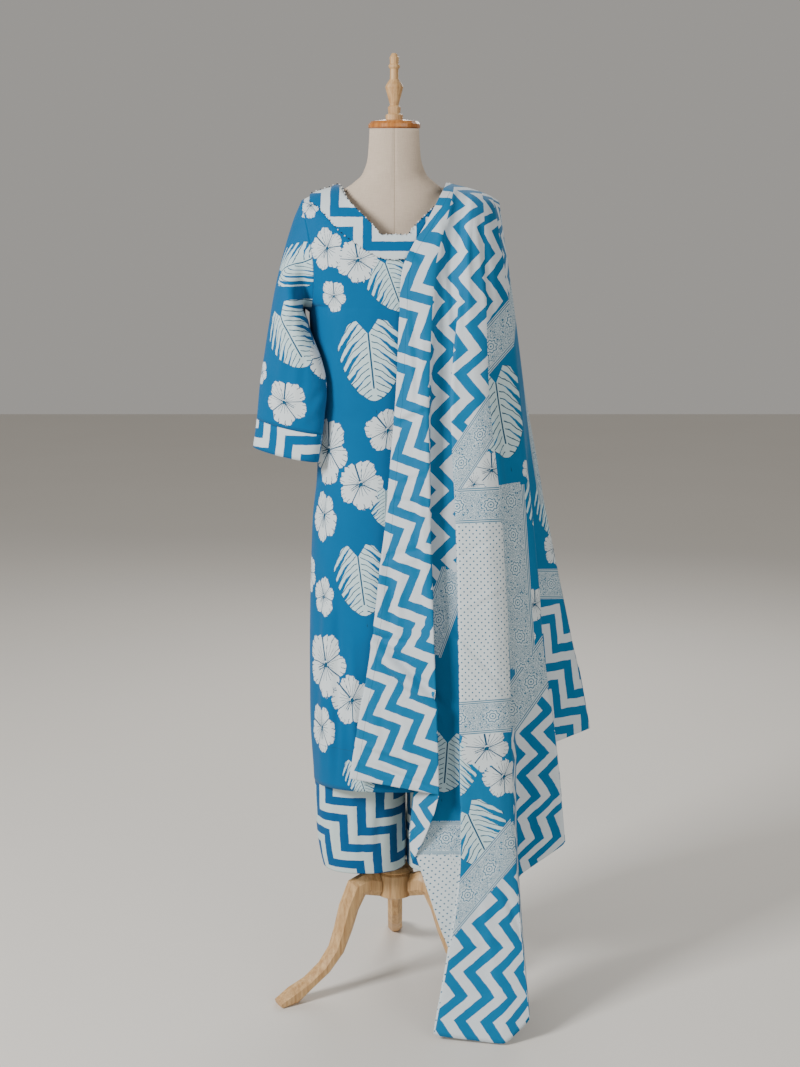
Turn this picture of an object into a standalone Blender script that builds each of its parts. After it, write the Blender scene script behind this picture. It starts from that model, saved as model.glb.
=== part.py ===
"""Salwar kameez suit on a limbless dress form.

A kameez, straight trousers and a dupatta hang on a padded torso that stands on
a turned post with three curved legs.  All sizes are in metres.  +X is to the
viewer's right, +Y goes away from the viewer and +Z is up.  The tables are in the
frame of the post: its axis is x = 0, y = 0 and the floor is z = 0.  At the end an
empty moves everything so that the origin is the middle of the footprint.
"""
import math

import bmesh
import bpy
from mathutils import Vector

# Cloth
WALL = 0.0016          # kameez and trouser cloth, with its turnings
DUPATTA_WALL = 0.0012  # the thinner scarf cloth
SEAM = 0.0003          # gap between two pieces at a seam
ARMHOLE_GAP = 0.0009   # gap round the armholes, where the walls meet at an angle
ROUND = 2.3            # roundness of the body sections: 2 is an ellipse

# Kameez outline
NECK_X = 0.100         # where the neckline meets the shoulder seam
NECK_DROP_Z = 1.475    # lowest point of the front neckline
NECK_FLAT = 0.024      # half of the flat bottom of that neckline
BACK_NECK_Z = 1.538    # lowest point of the back neckline
SHOULDER_X = 0.172     # end of the shoulder seam, at the sleeve
UNDERARM_Z = 1.33
SHOULDER_ROUND = 0.085  # height over which the panels curve over the shoulder
HEM_Z = 0.426
HEM_LIFT = 0.012       # the hem rises this much at the middle of the front
SLIT_TOP_Z = 0.74
SLIT_ANGLE = math.radians(4.0)  # how far each panel's edge stands back at the hem

# height, half width, depth of the front, depth of the back
KAMEEZ_ROWS = (
    (1.580, 0.215, 0.085, 0.085),
    (1.500, 0.212, 0.105, 0.095),
    (1.420, 0.197, 0.118, 0.102),
    (1.370, 0.176, 0.122, 0.106),
    (1.330, 0.159, 0.124, 0.108),
    (1.270, 0.157, 0.126, 0.110),
    (1.180, 0.149, 0.120, 0.110),
    (1.060, 0.146, 0.116, 0.112),
    (0.940, 0.156, 0.124, 0.124),
    (0.780, 0.163, 0.134, 0.134),
    (0.620, 0.165, 0.138, 0.138),
    (0.460, 0.163, 0.141, 0.141),
    (0.420, 0.158, 0.140, 0.140),
)
# distance from the middle, height of the shoulder seam
SHOULDER_LINE = (
    (0.000, 1.580),
    (0.080, 1.567),
    (0.100, 1.561),
    (0.140, 1.550),
    (0.172, 1.536),
    (0.215, 1.508),
)
# height, half width: the armhole as seen from the front
ARMHOLE = (
    (UNDERARM_Z, 0.159),
    (1.348, 0.151),
    (1.385, 0.147),
    (1.430, 0.148),
    (1.478, 0.156),
    (1.514, 0.165),
    (1.536, SHOULDER_X),
)
# how far down the rows above the underarm lie, from the upper edge (0) to the underarm (1)
UPPER_ROWS = (0.0, 0.035, 0.136, 0.286, 0.5, 0.72, 0.9, 1.0)
LOWER_ROWS = 9         # rows from the underarm to the hem
SHOULDER_COLUMNS = 4
NECK_COLUMNS = 5       # from the shoulder seam to the middle of the neckline
# half width, height: lower edge of the band round the neckline
NECK_BAND_EDGE = (
    (0.000, 1.430),
    (0.032, 1.436),
    (0.094, 1.477),
    (0.128, 1.512),
    (0.152, 1.534),
)
NECK_BAND_ROWS = (0.0, 0.07, 0.22, 0.45, 0.72, 1.0)
BAND_LIFT = 0.0022     # the band's inner side lies this far off the panel

# Sleeve sections from the armhole to the cuff, on the viewer's left:
# outer edge x, y, z; inner edge x, y, z; half thickness; turn of the section
SLEEVE_ROWS = (
    (-0.172, 0.000, 1.536, -0.159, 0.000, 1.330, 0.080, 0),
    (-0.187, -0.001, 1.508, -0.170, -0.001, 1.331, 0.080, 0),
    (-0.199, -0.003, 1.466, -0.175, -0.004, 1.325, 0.078, 0),
    (-0.211, -0.006, 1.418, -0.177, -0.010, 1.316, 0.075, 0),
    (-0.222, -0.010, 1.366, -0.174, -0.020, 1.303, 0.070, 0),
    (-0.232, -0.014, 1.312, -0.162, -0.044, 1.281, 0.062, 0),
    (-0.241, -0.017, 1.258, -0.138, -0.078, 1.245, 0.050, 12),
    (-0.250, -0.020, 1.200, -0.124, -0.096, 1.196, 0.039, 22),
    (-0.257, -0.022, 1.135, -0.134, -0.088, 1.112, 0.031, 26),
    (-0.265, -0.022, 1.082, -0.142, -0.085, 1.060, 0.029, 26),
)
CUFF_FROM_ROW = 8      # the cuff band starts here
ARMHOLE_PUSH = (0.0, 0.007, 0.006, 0.003, 0.0)  # the first rings stand off the armhole by this
SLEEVE_CLEARANCE = 0.009  # between the sleeve and the kameez below the armhole
COVERED_SLEEVE_IN = 0.028  # the dupatta presses the other sleeve in by this much,
COVERED_SLEEVE_BACK = 0.012  # back by this much
COVERED_SLEEVE_FLAT = 0.75   # and to this share of its thickness

# height, left edge, right edge, half depth, middle y of the left trouser leg
LEG_ROWS_LEFT = (
    (0.800, -0.150, 0.021, 0.108, 0.000),
    (0.700, -0.152, 0.021, 0.100, 0.000),
    (0.560, -0.156, 0.021, 0.090, 0.000),
    (0.440, -0.157, 0.021, 0.083, -0.002),
    (0.340, -0.155, 0.021, 0.078, -0.004),
    (0.285, -0.149, 0.021, 0.076, -0.005),
    (0.252, -0.142, 0.020, 0.075, -0.005),
)
LEG_ROWS_RIGHT = (
    (0.800, 0.024, 0.148, 0.096, 0.000),
    (0.700, 0.024, 0.149, 0.093, 0.000),
    (0.560, 0.024, 0.151, 0.090, 0.002),
    (0.440, 0.024, 0.152, 0.088, 0.004),
    (0.340, 0.025, 0.150, 0.086, 0.006),
    (0.285, 0.026, 0.148, 0.085, 0.007),
    (0.252, 0.028, 0.146, 0.084, 0.008),
)
# height, half width, depth of the front, depth of the back
SEAT_ROWS = (
    (1.035, 0.1245, 0.0925, 0.0945),
    (0.970, 0.1420, 0.1070, 0.1120),
    (0.900, 0.1480, 0.1130, 0.1180),
    (0.8004, 0.1510, 0.1120, 0.1160),
)
WAISTBAND_ROWS = (1.035, 1.070)  # the form's own rows that it lies on
WAISTBAND_LIFT = 0.0004

# Dress form: height, half width, depth of the front, depth of the back
FORM_ROWS = (
    (0.8460, 0.136, 0.099, 0.103),
    (0.9000, 0.140, 0.103, 0.110),
    (0.9900, 0.130, 0.095, 0.099),
    (1.0350, 0.1225, 0.0905, 0.0925),
    (1.0700, 0.1172, 0.0868, 0.0872),
    (1.1000, 0.1165, 0.0868, 0.0850),
    (1.1800, 0.127, 0.096, 0.086),
    (1.2700, 0.144, 0.112, 0.090),
    (1.3600, 0.148, 0.105, 0.092),
    (1.4400, 0.157, 0.090, 0.086),
    (1.4900, 0.160, 0.070, 0.070),
    (1.5200, 0.156, 0.050, 0.053),
    (1.5400, 0.143, 0.034, 0.038),
    (1.5508, 0.130, 0.012, 0.015),
    (1.5545, 0.101, 0.018, 0.023),
    (1.5620, 0.084, 0.029, 0.036),
    (1.5700, 0.073, 0.044, 0.048),
    (1.5820, 0.060, 0.048, 0.050),
    (1.6050, 0.050, 0.047, 0.048),
    (1.6350, 0.0465, 0.046, 0.046),
    (1.6640, 0.0450, 0.045, 0.045),
)

# Turned wood: radius, height
NECK_CAP = ((0.0425, 0.0000), (0.0480, 0.0025), (0.0480, 0.0085), (0.0430, 0.0140), (0.0220, 0.0165))
FINIAL = (
    (0.0160, 0.0000), (0.0160, 0.0085), (0.0110, 0.0120), (0.0118, 0.0225), (0.0080, 0.0262),
    (0.0088, 0.0300), (0.0155, 0.0540), (0.0165, 0.0580), (0.0150, 0.0625), (0.0080, 0.0730),
    (0.0078, 0.0900), (0.0105, 0.0935), (0.0105, 0.0965), (0.0080, 0.1000), (0.0085, 0.1110),
    (0.0045, 0.1180),
)
CAP_Z = 1.6643
FINIAL_Z = CAP_Z + 0.0168
POLE_R = 0.0125
POLE_Z = (0.2463, 0.8457)
HUB = (
    (0.0300, 0.1780), (0.0370, 0.1820), (0.0375, 0.2260), (0.0340, 0.2300), (0.0375, 0.2340),
    (0.0330, 0.2410), (0.0230, 0.2460),
)
LEG_WIDTH = 0.030
LEG_ANGLES = (210.0, 330.0, 90.0)
# distance from the post and height of a leg's middle line, half height of the leg
STAND_LEG_ROWS = (
    (0.0379, 0.206, 0.023),
    (0.0620, 0.214, 0.024),
    (0.0860, 0.208, 0.023),
    (0.1040, 0.172, 0.020),
    (0.1170, 0.130, 0.018),
    (0.1330, 0.090, 0.016),
    (0.1600, 0.058, 0.014),
    (0.1950, 0.034, 0.013),
    (0.2280, 0.0155, 0.0185),
    (0.2600, 0.0060, 0.0090),
)

# Dupatta.  The sheet hangs from the shoulder in folds.  Each row is a fold line:
# where it crosses the shoulder, then x, y at the chest, waist, hip and thigh, and
# x, y, z at the knee, at the shin and at the edge of the cloth.
CHEST_Z, WAIST_Z, HIP_Z, THIGH_Z = 1.42, 1.20, 0.95, 0.70
FRONT_FOLDS = (
    # the inner edge, at the neckline
    (0.096, (0.0165, -0.126), (0.003, -0.139), (-0.018, -0.142), (-0.047, -0.150),
     (-0.062, -0.152, 0.62), (-0.073, -0.154, 0.547), (-0.085, -0.156, 0.471)),
    # the ridge of the front pleat
    (0.110, (0.074, -0.134), (0.064, -0.163), (0.070, -0.178), (0.079, -0.190),
     (0.082, -0.193, 0.62), (0.085, -0.195, 0.53), (0.087, -0.197, 0.452)),
    # the cloth turned in behind it
    (0.120, (0.090, -0.119), (0.070, -0.134), (0.056, -0.143), (0.050, -0.150),
     (0.046, -0.151, 0.62), (0.038, -0.152, 0.53), (0.026, -0.153, 0.447)),
    # the recess, behind the wide front face
    (0.134, (0.112, -0.117), (0.126, -0.140), (0.128, -0.158), (0.135, -0.166),
     (0.135, -0.168, 0.55), (0.130, -0.174, 0.36), (0.108, -0.184, 0.165)),
    # the left edge of the wide front face
    (0.142, (0.124, -0.131), (0.097, -0.160), (0.107, -0.180), (0.1135, -0.192),
     (0.117, -0.196, 0.50), (0.117, -0.206, 0.27), (0.071, -0.268, 0.010)),
    # the line that ends in the corner of the tail
    (0.152, (0.144, -0.126), (0.146, -0.164), (0.168, -0.184), (0.186, -0.196),
     (0.195, -0.200, 0.50), (0.204, -0.212, 0.24), (0.205, -0.292, 0.004)),
    # the right ridge of the wide front face
    (0.160, (0.162, -0.118), (0.168, -0.156), (0.194, -0.172), (0.211, -0.184),
     (0.219, -0.188, 0.50), (0.232, -0.204, 0.26), (0.252, -0.268, 0.040)),
    # the valley beside it
    (0.170, (0.180, -0.106), (0.192, -0.134), (0.220, -0.142), (0.228, -0.138),
     (0.230, -0.125, 0.55), (0.232, -0.122, 0.40), (0.238, -0.118, 0.262)),
    # the ridge over the sleeve
    (0.180, (0.200, -0.084), (0.228, -0.102), (0.259, -0.112), (0.287, -0.112),
     (0.305, -0.108, 0.56), (0.318, -0.104, 0.45), (0.330, -0.100, 0.322)),
    # the cloth turned in behind that ridge
    (0.188, (0.210, -0.045), (0.240, -0.050), (0.252, -0.060), (0.268, -0.062),
     (0.278, -0.058, 0.62), (0.288, -0.052, 0.56), (0.296, -0.046, 0.500)),
    # the outermost line, at the side
    (0.194, (0.211, 0.000), (0.243, 0.000), (0.291, 0.000), (0.344, 0.000),
     (0.360, 0.000, 0.64), (0.372, 0.000, 0.58), (0.383, 0.000, 0.521)),
)
BACK_FOLDS = (
    # from the side round to the inner edge at the back of the neck
    (0.188, (0.205, 0.040), (0.226, 0.055), (0.250, 0.068), (0.275, 0.075),
     (0.283, 0.078, 0.62), (0.290, 0.080, 0.56), (0.296, 0.082, 0.490)),
    (0.176, (0.188, 0.080), (0.212, 0.108), (0.240, 0.135), (0.268, 0.150),
     (0.280, 0.158, 0.58), (0.288, 0.164, 0.47), (0.295, 0.170, 0.360)),
    (0.164, (0.165, 0.096), (0.178, 0.118), (0.195, 0.138), (0.210, 0.148),
     (0.214, 0.152, 0.54), (0.216, 0.158, 0.39), (0.218, 0.165, 0.235)),
    (0.150, (0.138, 0.110), (0.155, 0.145), (0.172, 0.175), (0.188, 0.190),
     (0.196, 0.198, 0.48), (0.204, 0.208, 0.26), (0.212, 0.222, 0.050)),
    (0.134, (0.106, 0.114), (0.110, 0.134), (0.112, 0.156), (0.114, 0.166),
     (0.116, 0.172, 0.50), (0.120, 0.180, 0.30), (0.126, 0.190, 0.110)),
    (0.118, (0.078, 0.116), (0.078, 0.150), (0.072, 0.178), (0.064, 0.188),
     (0.060, 0.192, 0.55), (0.056, 0.196, 0.42), (0.052, 0.200, 0.285)),
    (0.106, (0.050, 0.114), (0.046, 0.130), (0.030, 0.150), (0.015, 0.160),
     (0.008, 0.164, 0.60), (0.002, 0.168, 0.50), (-0.004, 0.172, 0.395)),
    (0.096, (0.022, 0.112), (0.010, 0.128), (-0.010, 0.146), (-0.034, 0.156),
     (-0.042, 0.160, 0.62), (-0.050, 0.163, 0.54), (-0.058, 0.166, 0.450)),
)
# distance from the middle, height of the dupatta on the shoulder
DUPATTA_RIDGE = ((0.090, 1.5697), (0.108, 1.5661), (0.146, 1.5565), (0.175, 1.5457), (0.196, 1.5334))
DUPATTA_LIFT = 0.007
FOLD_ROUND = 0.012     # the cloth starts to turn this far from a fold line
PLEAT_LINE = 2         # the front pleat ends after this fold line
FALL_LINE = 6          # and the wide front face after this one
FOLD_ROWS = (0, 0.6, 1, 1.5, 2, 3, 3.5, 4, 4.25, 4.5, 4.75, 5, 5.5, 6, 6.5, 7, 7.5, 8, 8.5, 9)


def smooth(points, at):
    """Height of a smooth curve through (place, value) points, in rising place"""
    last = len(points) - 1
    at = min(max(at, points[0][0]), points[last][0])
    i = max(k for k in range(last) if points[k][0] <= at)

    def slope(k):
        a, b = points[max(k - 1, 0)], points[min(k + 1, last)]
        return (b[1] - a[1]) / (b[0] - a[0])

    (x0, v0), (x1, v1) = points[i], points[i + 1]
    step = x1 - x0
    t = (at - x0) / step
    return ((2 * t**3 - 3 * t**2 + 1) * v0 + (t**3 - 2 * t**2 + t) * step * slope(i)
            + (3 * t**2 - 2 * t**3) * v1 + (t**3 - t**2) * step * slope(i + 1))


def section(rows, z):
    """The columns of a table of sections at height z"""
    rising = sorted(rows)
    return [smooth([(row[0], row[column]) for row in rising], z) for column in range(1, len(rows[0]))]


def route(stations, p):
    """Point p of a smooth line through the stations, counted in stations"""
    i = min(int(p), len(stations) - 2)
    t = p - i
    a, b = stations[i], stations[i + 1]
    before = stations[i - 1] if i else a * 2 - b
    after = stations[i + 2] if i + 2 < len(stations) else b * 2 - a
    return (a * 2 + (b - before) * t + (before * 2 - a * 5 + b * 4 - after) * t**2
            + (a * 3 - b * 3 + after - before) * t**3) * 0.5


def superellipse(angle, half_width, half_depth, power=ROUND):
    """A point of a rounded section: angle 0 is +X, a quarter turn is +Y"""
    c, s = math.cos(angle), math.sin(angle)
    size = (abs(c) ** power + abs(s) ** power) ** (-1 / power)
    return half_width * size * c, half_depth * size * s


def finish(name, bm, material, smooth_angle=40.0):
    """Turn a closed bmesh into a named object with its material"""
    bmesh.ops.recalc_face_normals(bm, faces=bm.faces)
    mesh = bpy.data.meshes.new(name)
    bm.to_mesh(mesh)
    bm.free()
    mesh.materials.append(material)
    mesh.shade_smooth()
    mesh.set_sharp_from_angle(angle=math.radians(smooth_angle))
    thing = bpy.data.objects.new(name, mesh)
    bpy.context.collection.objects.link(thing)
    thing.parent = floor_middle
    return thing


def wall(name, grid, thickness, material, closed=False, outward=1, hold=None, first_inner=None,
         axis=None):
    """A sheet of cloth: the grid is its outer side, and the inner side lies behind it"""
    rows, columns = len(grid), len(grid[0])
    inner = [[None] * columns for _ in range(rows)]
    for i in range(rows):
        for j in range(columns):
            up, down = grid[max(i - 1, 0)][j], grid[min(i + 1, rows - 1)][j]
            if closed:
                left, right = grid[i][j - 1], grid[i][(j + 1) % columns]
            else:
                left, right = grid[i][max(j - 1, 0)], grid[i][min(j + 1, columns - 1)]
            normal = (right - left).cross(down - up).normalized() * outward
            if axis and i > 1:
                top, low = axis
                radial = grid[i][j] - top.lerp(low, (top.z - grid[i][j].z) / (top.z - low.z))
                radial.normalize()
                normal = normal if normal.dot(radial) > 0.6 else (normal * 0.3 + radial).normalized()
            deep = 1.0
            if not closed and 0 < j < columns - 1:
                turn = (grid[i][j] - left).angle(right - grid[i][j], 0.0)
                deep = 1 / max(math.cos(turn / 2), 0.5)
            inner[i][j] = grid[i][j] - normal * thickness * deep
            if hold:
                inner[i][j] = hold(inner[i][j])
    if first_inner:
        inner[0] = first_inner
    bm = bmesh.new()
    outer_v = [[bm.verts.new(p) for p in row] for row in grid]
    inner_v = [[bm.verts.new(p) for p in row] for row in inner]
    spans = columns if closed else columns - 1
    for i in range(rows - 1):
        for j in range(spans):
            k = (j + 1) % columns
            falling = (grid[i][j] - grid[i + 1][k]).length < (grid[i][k] - grid[i + 1][j]).length
            for side in (outer_v, inner_v):
                loop = [side[i][j], side[i][k], side[i + 1][k], side[i + 1][j]]
                if not falling:
                    loop = loop[1:] + loop[:1]
                bm.faces.new([loop[0], loop[1], loop[2]])
                bm.faces.new([loop[0], loop[2], loop[3]])
    for j in range(spans):
        k = (j + 1) % columns
        bm.faces.new([outer_v[0][k], outer_v[0][j], inner_v[0][j], inner_v[0][k]])
        bm.faces.new([outer_v[-1][j], outer_v[-1][k], inner_v[-1][k], inner_v[-1][j]])
    if not closed:
        for i in range(rows - 1):
            bm.faces.new([outer_v[i][0], outer_v[i + 1][0], inner_v[i + 1][0], inner_v[i][0]])
            bm.faces.new([outer_v[i + 1][-1], outer_v[i][-1], inner_v[i][-1], inner_v[i + 1][-1]])
    return finish(name, bm, material), inner


def loft(name, rings, material):
    """A solid through rings of points, with flat ends"""
    bm = bmesh.new()
    loops = [[bm.verts.new(p) for p in ring] for ring in rings]
    count = len(loops[0])
    for a, b in zip(loops, loops[1:]):
        for j in range(count):
            bm.faces.new([a[j], a[(j + 1) % count], b[(j + 1) % count], b[j]])
    bm.faces.new(loops[0][::-1])
    bm.faces.new(loops[-1])
    return finish(name, bm, material)


def turned(name, profile, base_z, sides, material):
    """A piece turned about the post's axis"""
    rings = []
    for radius, height in profile:
        angles = [2 * math.pi * k / sides for k in range(sides)]
        rings.append([Vector((radius * math.cos(a), radius * math.sin(a), base_z + height)) for a in angles])
    return loft(name, rings, material)


def make_material(name, colour, roughness):
    """A plain material with the piece's colour and roughness"""
    material = bpy.data.materials.new(name)
    material.use_nodes = True
    shader = material.node_tree.nodes["Principled BSDF"]
    shader.inputs["Base Color"].default_value = (*colour, 1.0)
    shader.inputs["Roughness"].default_value = roughness
    shader.inputs["Metallic"].default_value = 0.0
    return material


def body_y(x, z, front):
    """Depth of a kameez panel at x and height z, positive for both panels"""
    half_width, front_depth, back_depth = section(KAMEEZ_ROWS, z)
    depth = front_depth if front else back_depth
    across = max(1 - min(abs(x) / half_width, 1) ** ROUND, 0) ** (1 / ROUND)
    above = (z - smooth(SHOULDER_LINE, abs(x)) + SHOULDER_ROUND) / SHOULDER_ROUND
    over = math.sqrt(max(1 - max(above, 0) ** 2, 0))
    return depth * across * over


def neckline(fraction, front):
    """Half width and height of the neckline, from the shoulder (0) to the middle (1)"""
    low = NECK_DROP_Z if front else BACK_NECK_Z
    top = smooth(SHOULDER_LINE, NECK_X)
    flat = NECK_FLAT if front else NECK_FLAT * 2
    if fraction >= 0.8:
        return flat * (1 - fraction) / 0.2, low
    turn = math.sin(fraction / 0.8 * math.pi / 2)
    return flat + (NECK_X - flat) * (1 - turn**1.5), low + (top - low) * (1 - turn) ** 0.8


def upper_edge(front):
    """A panel's upper edge: the shoulder seam, the neckline and the other shoulder seam"""
    half = []
    for k in range(SHOULDER_COLUMNS):
        x = SHOULDER_X + (NECK_X - SHOULDER_X) * k / SHOULDER_COLUMNS
        half.append((x, smooth(SHOULDER_LINE, x)))
    half += [neckline(k / NECK_COLUMNS, front) for k in range(NECK_COLUMNS + 1)]
    return [(-x, z) for x, z in half] + half[-2::-1]


def side_angle(z):
    """Angle of a panel's side edge: the armhole, then the side seam, then the slit"""
    if z > UNDERARM_Z:
        return math.asin(smooth(ARMHOLE, z) / section(KAMEEZ_ROWS, z)[0])
    return math.pi / 2 - SLIT_ANGLE * max(SLIT_TOP_Z - z, 0) / (SLIT_TOP_Z - HEM_Z)


def panel_grid(front):
    """Points of a kameez panel, by rows from the upper edge to the hem"""
    tops = upper_edge(front)
    last = len(tops) - 1
    side = -1 if front else 1
    columns = []
    for j, (x_top, z_top) in enumerate(tops):
        share_below = 2 * j / last - 1
        half_width = section(KAMEEZ_ROWS, z_top)[0]
        share_top = math.asin(x_top / half_width) / side_angle(z_top)
        z_hem = HEM_Z + (HEM_LIFT * math.cos(share_below * math.pi / 2) if front else 0)
        heights = [z_top + (UNDERARM_Z - z_top) * down for down in UPPER_ROWS]
        heights += [UNDERARM_Z + (z_hem - UNDERARM_Z) * k / LOWER_ROWS for k in range(1, LOWER_ROWS + 1)]
        column = []
        for z in heights:
            settled = min((z_top - z) / (z_top - 1.20), 1)
            settled = settled * settled * (3 - 2 * settled)
            angle = side_angle(z) * (share_top + (share_below - share_top) * settled)
            x = section(KAMEEZ_ROWS, z)[0] * math.sin(angle)
            column.append(Vector((x, side * (SEAM / 2 + body_y(x, z, front)), z)))
        columns.append(column)
    return [[column[i] for column in columns] for i in range(len(columns[0]))]


def neck_band_grid():
    """The outer side of the band round the front neckline"""
    edge = sorted(NECK_BAND_EDGE)
    tops = [top for top in upper_edge(True) if abs(top[0]) < edge[-1][0] + 0.003]
    rows = []
    for down in NECK_BAND_ROWS:
        row = []
        for x, z_top in tops:
            z = z_top - max(z_top - smooth(edge, abs(x)), 0.014) * down
            step = 0.001
            y = -body_y(x, z, True)
            slope_x = (-body_y(x + step, z, True) - y) / step
            slope_z = (y + body_y(x, z - step, True)) / step
            out = Vector((slope_x, -1, slope_z)).normalized() * (BAND_LIFT + WALL)
            point = Vector((x, y, z)) + out
            row.append(Vector((point.x, min(point.y, -SEAM), point.z)))
        rows.append(row)
    return rows


def keep_front(point):
    """Hold a front panel's inner side in front of the side seams"""
    return Vector((point.x, min(point.y, -SEAM / 2), point.z))


def keep_back(point):
    """Hold a back panel's inner side behind the side seams"""
    return Vector((point.x, max(point.y, SEAM / 2), point.z))


def clear_of_kameez(point, margin):
    """Move a sleeve's point out of the kameez's side, sideways only"""
    if point.z > UNDERARM_Z + 0.12 or margin <= 0:
        return point
    half_width, front_depth, back_depth = section(KAMEEZ_ROWS, min(point.z, UNDERARM_Z))
    depth = front_depth if point.y < 0 else back_depth
    inside = (abs(point.x / (half_width + margin)) ** ROUND
              + abs(point.y / (depth + margin)) ** ROUND) ** (1 / ROUND)
    if inside >= 1:
        return point
    return Vector((point.x / inside, point.y / inside, point.z))


def sleeve_rings(armhole, away, covered):
    """Rings of the left sleeve: the armhole's own shape fades into the sections"""
    half = len(armhole) // 2
    turns = [math.pi * k / half for k in range(2 * half)]
    rings = []
    first = None
    for number, (ox, oy, oz, ix, iy, iz, thick, yaw) in enumerate(SLEEVE_ROWS):
        down = number / (len(SLEEVE_ROWS) - 1)
        pressed = min(max(down - 0.1, 0) * 2, 1) if covered else 0
        shift = Vector((COVERED_SLEEVE_IN, COVERED_SLEEVE_BACK, 0)) * pressed
        outer, inner = Vector((ox, oy, oz)) + shift, Vector((ix, iy, iz))
        centre, reach = (outer + inner) / 2, (outer - inner) / 2
        thick *= 1 - (1 - COVERED_SLEEVE_FLAT) * pressed
        across = Vector((-math.sin(math.radians(yaw)), -math.cos(math.radians(yaw)), 0)) * thick
        ring = [centre - reach * math.cos(a) + across * math.sin(a) for a in turns]
        if first is None:
            first = ring
        fade = max(1 - down / 0.45, 0) ** 2
        margin = SLEEVE_CLEARANCE * min(down / 0.2, 1)
        push = ARMHOLE_PUSH[min(number, len(ARMHOLE_PUSH) - 1)]
        ring = [clear_of_kameez(p + (a - f) * fade + off * push, margin)
                for p, a, f, off in zip(ring, armhole, first, away)]
        rings.append(ring)
    return rings


def mirrored(points):
    """The same points on the other side of the middle"""
    return [Vector((-p.x, p.y, p.z)) for p in points]


def make_kameez(cloth, band_cloth):
    """Front, back, neck band, sleeves and cuff bands"""
    front, back = panel_grid(True), panel_grid(False)
    front_inner = wall("kameez_front", front, WALL, cloth, outward=-1, hold=keep_front)[1]
    back_inner = wall("kameez_back", back, WALL, cloth, outward=1, hold=keep_back)[1]

    wall("neck_band", neck_band_grid(), WALL, band_cloth, outward=-1, hold=keep_front)

    underarm_row = len(UPPER_ROWS) - 1
    outer = [front[i][0] for i in range(underarm_row, -1, -1)]
    inner = [front_inner[i][0] for i in range(underarm_row, -1, -1)]
    outer += [back[i][0] for i in range(1, underarm_row)]
    inner += [back_inner[i][0] for i in range(1, underarm_row)]
    beside = [(front[i][1] + front[i + 1][1]) / 2 for i in range(underarm_row, -1, -1)]
    beside += [(back[i][1] + back[i + 1][1]) / 2 for i in range(1, underarm_row)]
    away = []
    total = len(outer)
    for j in range(total):
        tangent = outer[(j + 1) % total] - outer[j - 1]
        off = tangent.cross(outer[j] - inner[j]).normalized()
        away.append(-off if off.dot(outer[j] - beside[j]) < 0 else off)
    start_outer = [p + d * ARMHOLE_GAP for p, d in zip(outer, away)]
    start_inner = [p + d * ARMHOLE_GAP for p, d in zip(inner, away)]

    for side in ("left", "right"):
        rings = sleeve_rings(start_outer, away, side == "right")
        inner_ring = start_inner
        outward = 1
        if side == "right":
            rings = [mirrored(ring) for ring in rings]
            inner_ring = mirrored(inner_ring)
            outward = -1
        cut = CUFF_FROM_ROW
        low = sum(rings[cut], Vector()) / total
        top = Vector((rings[2][0].x * 0.5 + rings[2][total // 2].x * 0.5, rings[2][0].y, UNDERARM_Z + 0.1))
        wall("sleeve_" + side, rings[:cut + 1], WALL, cloth, closed=True, outward=outward,
             first_inner=inner_ring, axis=(top, low))
        drop = Vector((0, 0, -SEAM * 1.3))
        cuff = [[p + drop for p in ring] for ring in rings[cut:]]
        wall("cuff_band_" + side, cuff, WALL, band_cloth, closed=True, outward=outward)


def ring_between(z, left, right, half_depth, middle_y, count=16):
    """A rounded ring between a left and a right edge"""
    points = []
    for k in range(count):
        x, y = superellipse(2 * math.pi * k / count, (right - left) / 2, half_depth, 2.5)
        points.append(Vector(((left + right) / 2 + x, middle_y + y, z)))
    return points


def body_ring(half_width, front_depth, back_depth, z, count, lift=0.0):
    """A rounded ring round the body's axis"""
    points = []
    for k in range(count):
        angle = 2 * math.pi * k / count
        depth = back_depth if math.sin(angle) > 0 else front_depth
        x, y = superellipse(angle, half_width + lift, depth + lift, 2.2)
        points.append(Vector((x, y, z)))
    return points


def make_trousers(cloth, waist_cloth):
    """Two legs, the seat that joins them and the waistband"""
    for side, rows in (("left", LEG_ROWS_LEFT), ("right", LEG_ROWS_RIGHT)):
        rings = [ring_between(*row) for row in rows]
        wall("trouser_leg_" + side, rings, WALL, cloth, closed=True, outward=-1)
    rings = [body_ring(w, f, b, z, 24) for z, w, f, b in SEAT_ROWS]
    wall("trouser_seat", rings, WALL, cloth, closed=True, outward=-1)
    band = [body_ring(w, f, b, z + SEAM, 24, WAISTBAND_LIFT + WALL)
            for z, w, f, b in sorted(FORM_ROWS, reverse=True) if z in WAISTBAND_ROWS]
    wall("trouser_waistband", band, WALL, waist_cloth, closed=True, outward=-1)


def fold_stations(row, front):
    """The points that a fold line passes, from the shoulder to the cloth's edge"""
    ridge_x, chest, waist, hip, thigh, knee, shin, end = row
    ridge_z = smooth(DUPATTA_RIDGE, ridge_x)
    side = -1 if front else 1
    stations = [Vector((ridge_x, side * SEAM, ridge_z))]
    for turn in (60, 30):
        rise, reach = math.sin(math.radians(turn)), math.cos(math.radians(turn))
        stations.append(Vector((
            chest[0] + (ridge_x - chest[0]) * rise,
            chest[1] * reach + side * DUPATTA_LIFT * rise,
            CHEST_Z + (ridge_z - CHEST_Z) * rise)))
    for (x, y), z in ((chest, CHEST_Z), (waist, WAIST_Z), (hip, HIP_Z), (thigh, THIGH_Z)):
        stations.append(Vector((x, y, z)))
    return stations + [Vector(knee), Vector(shin), Vector(end)]


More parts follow.
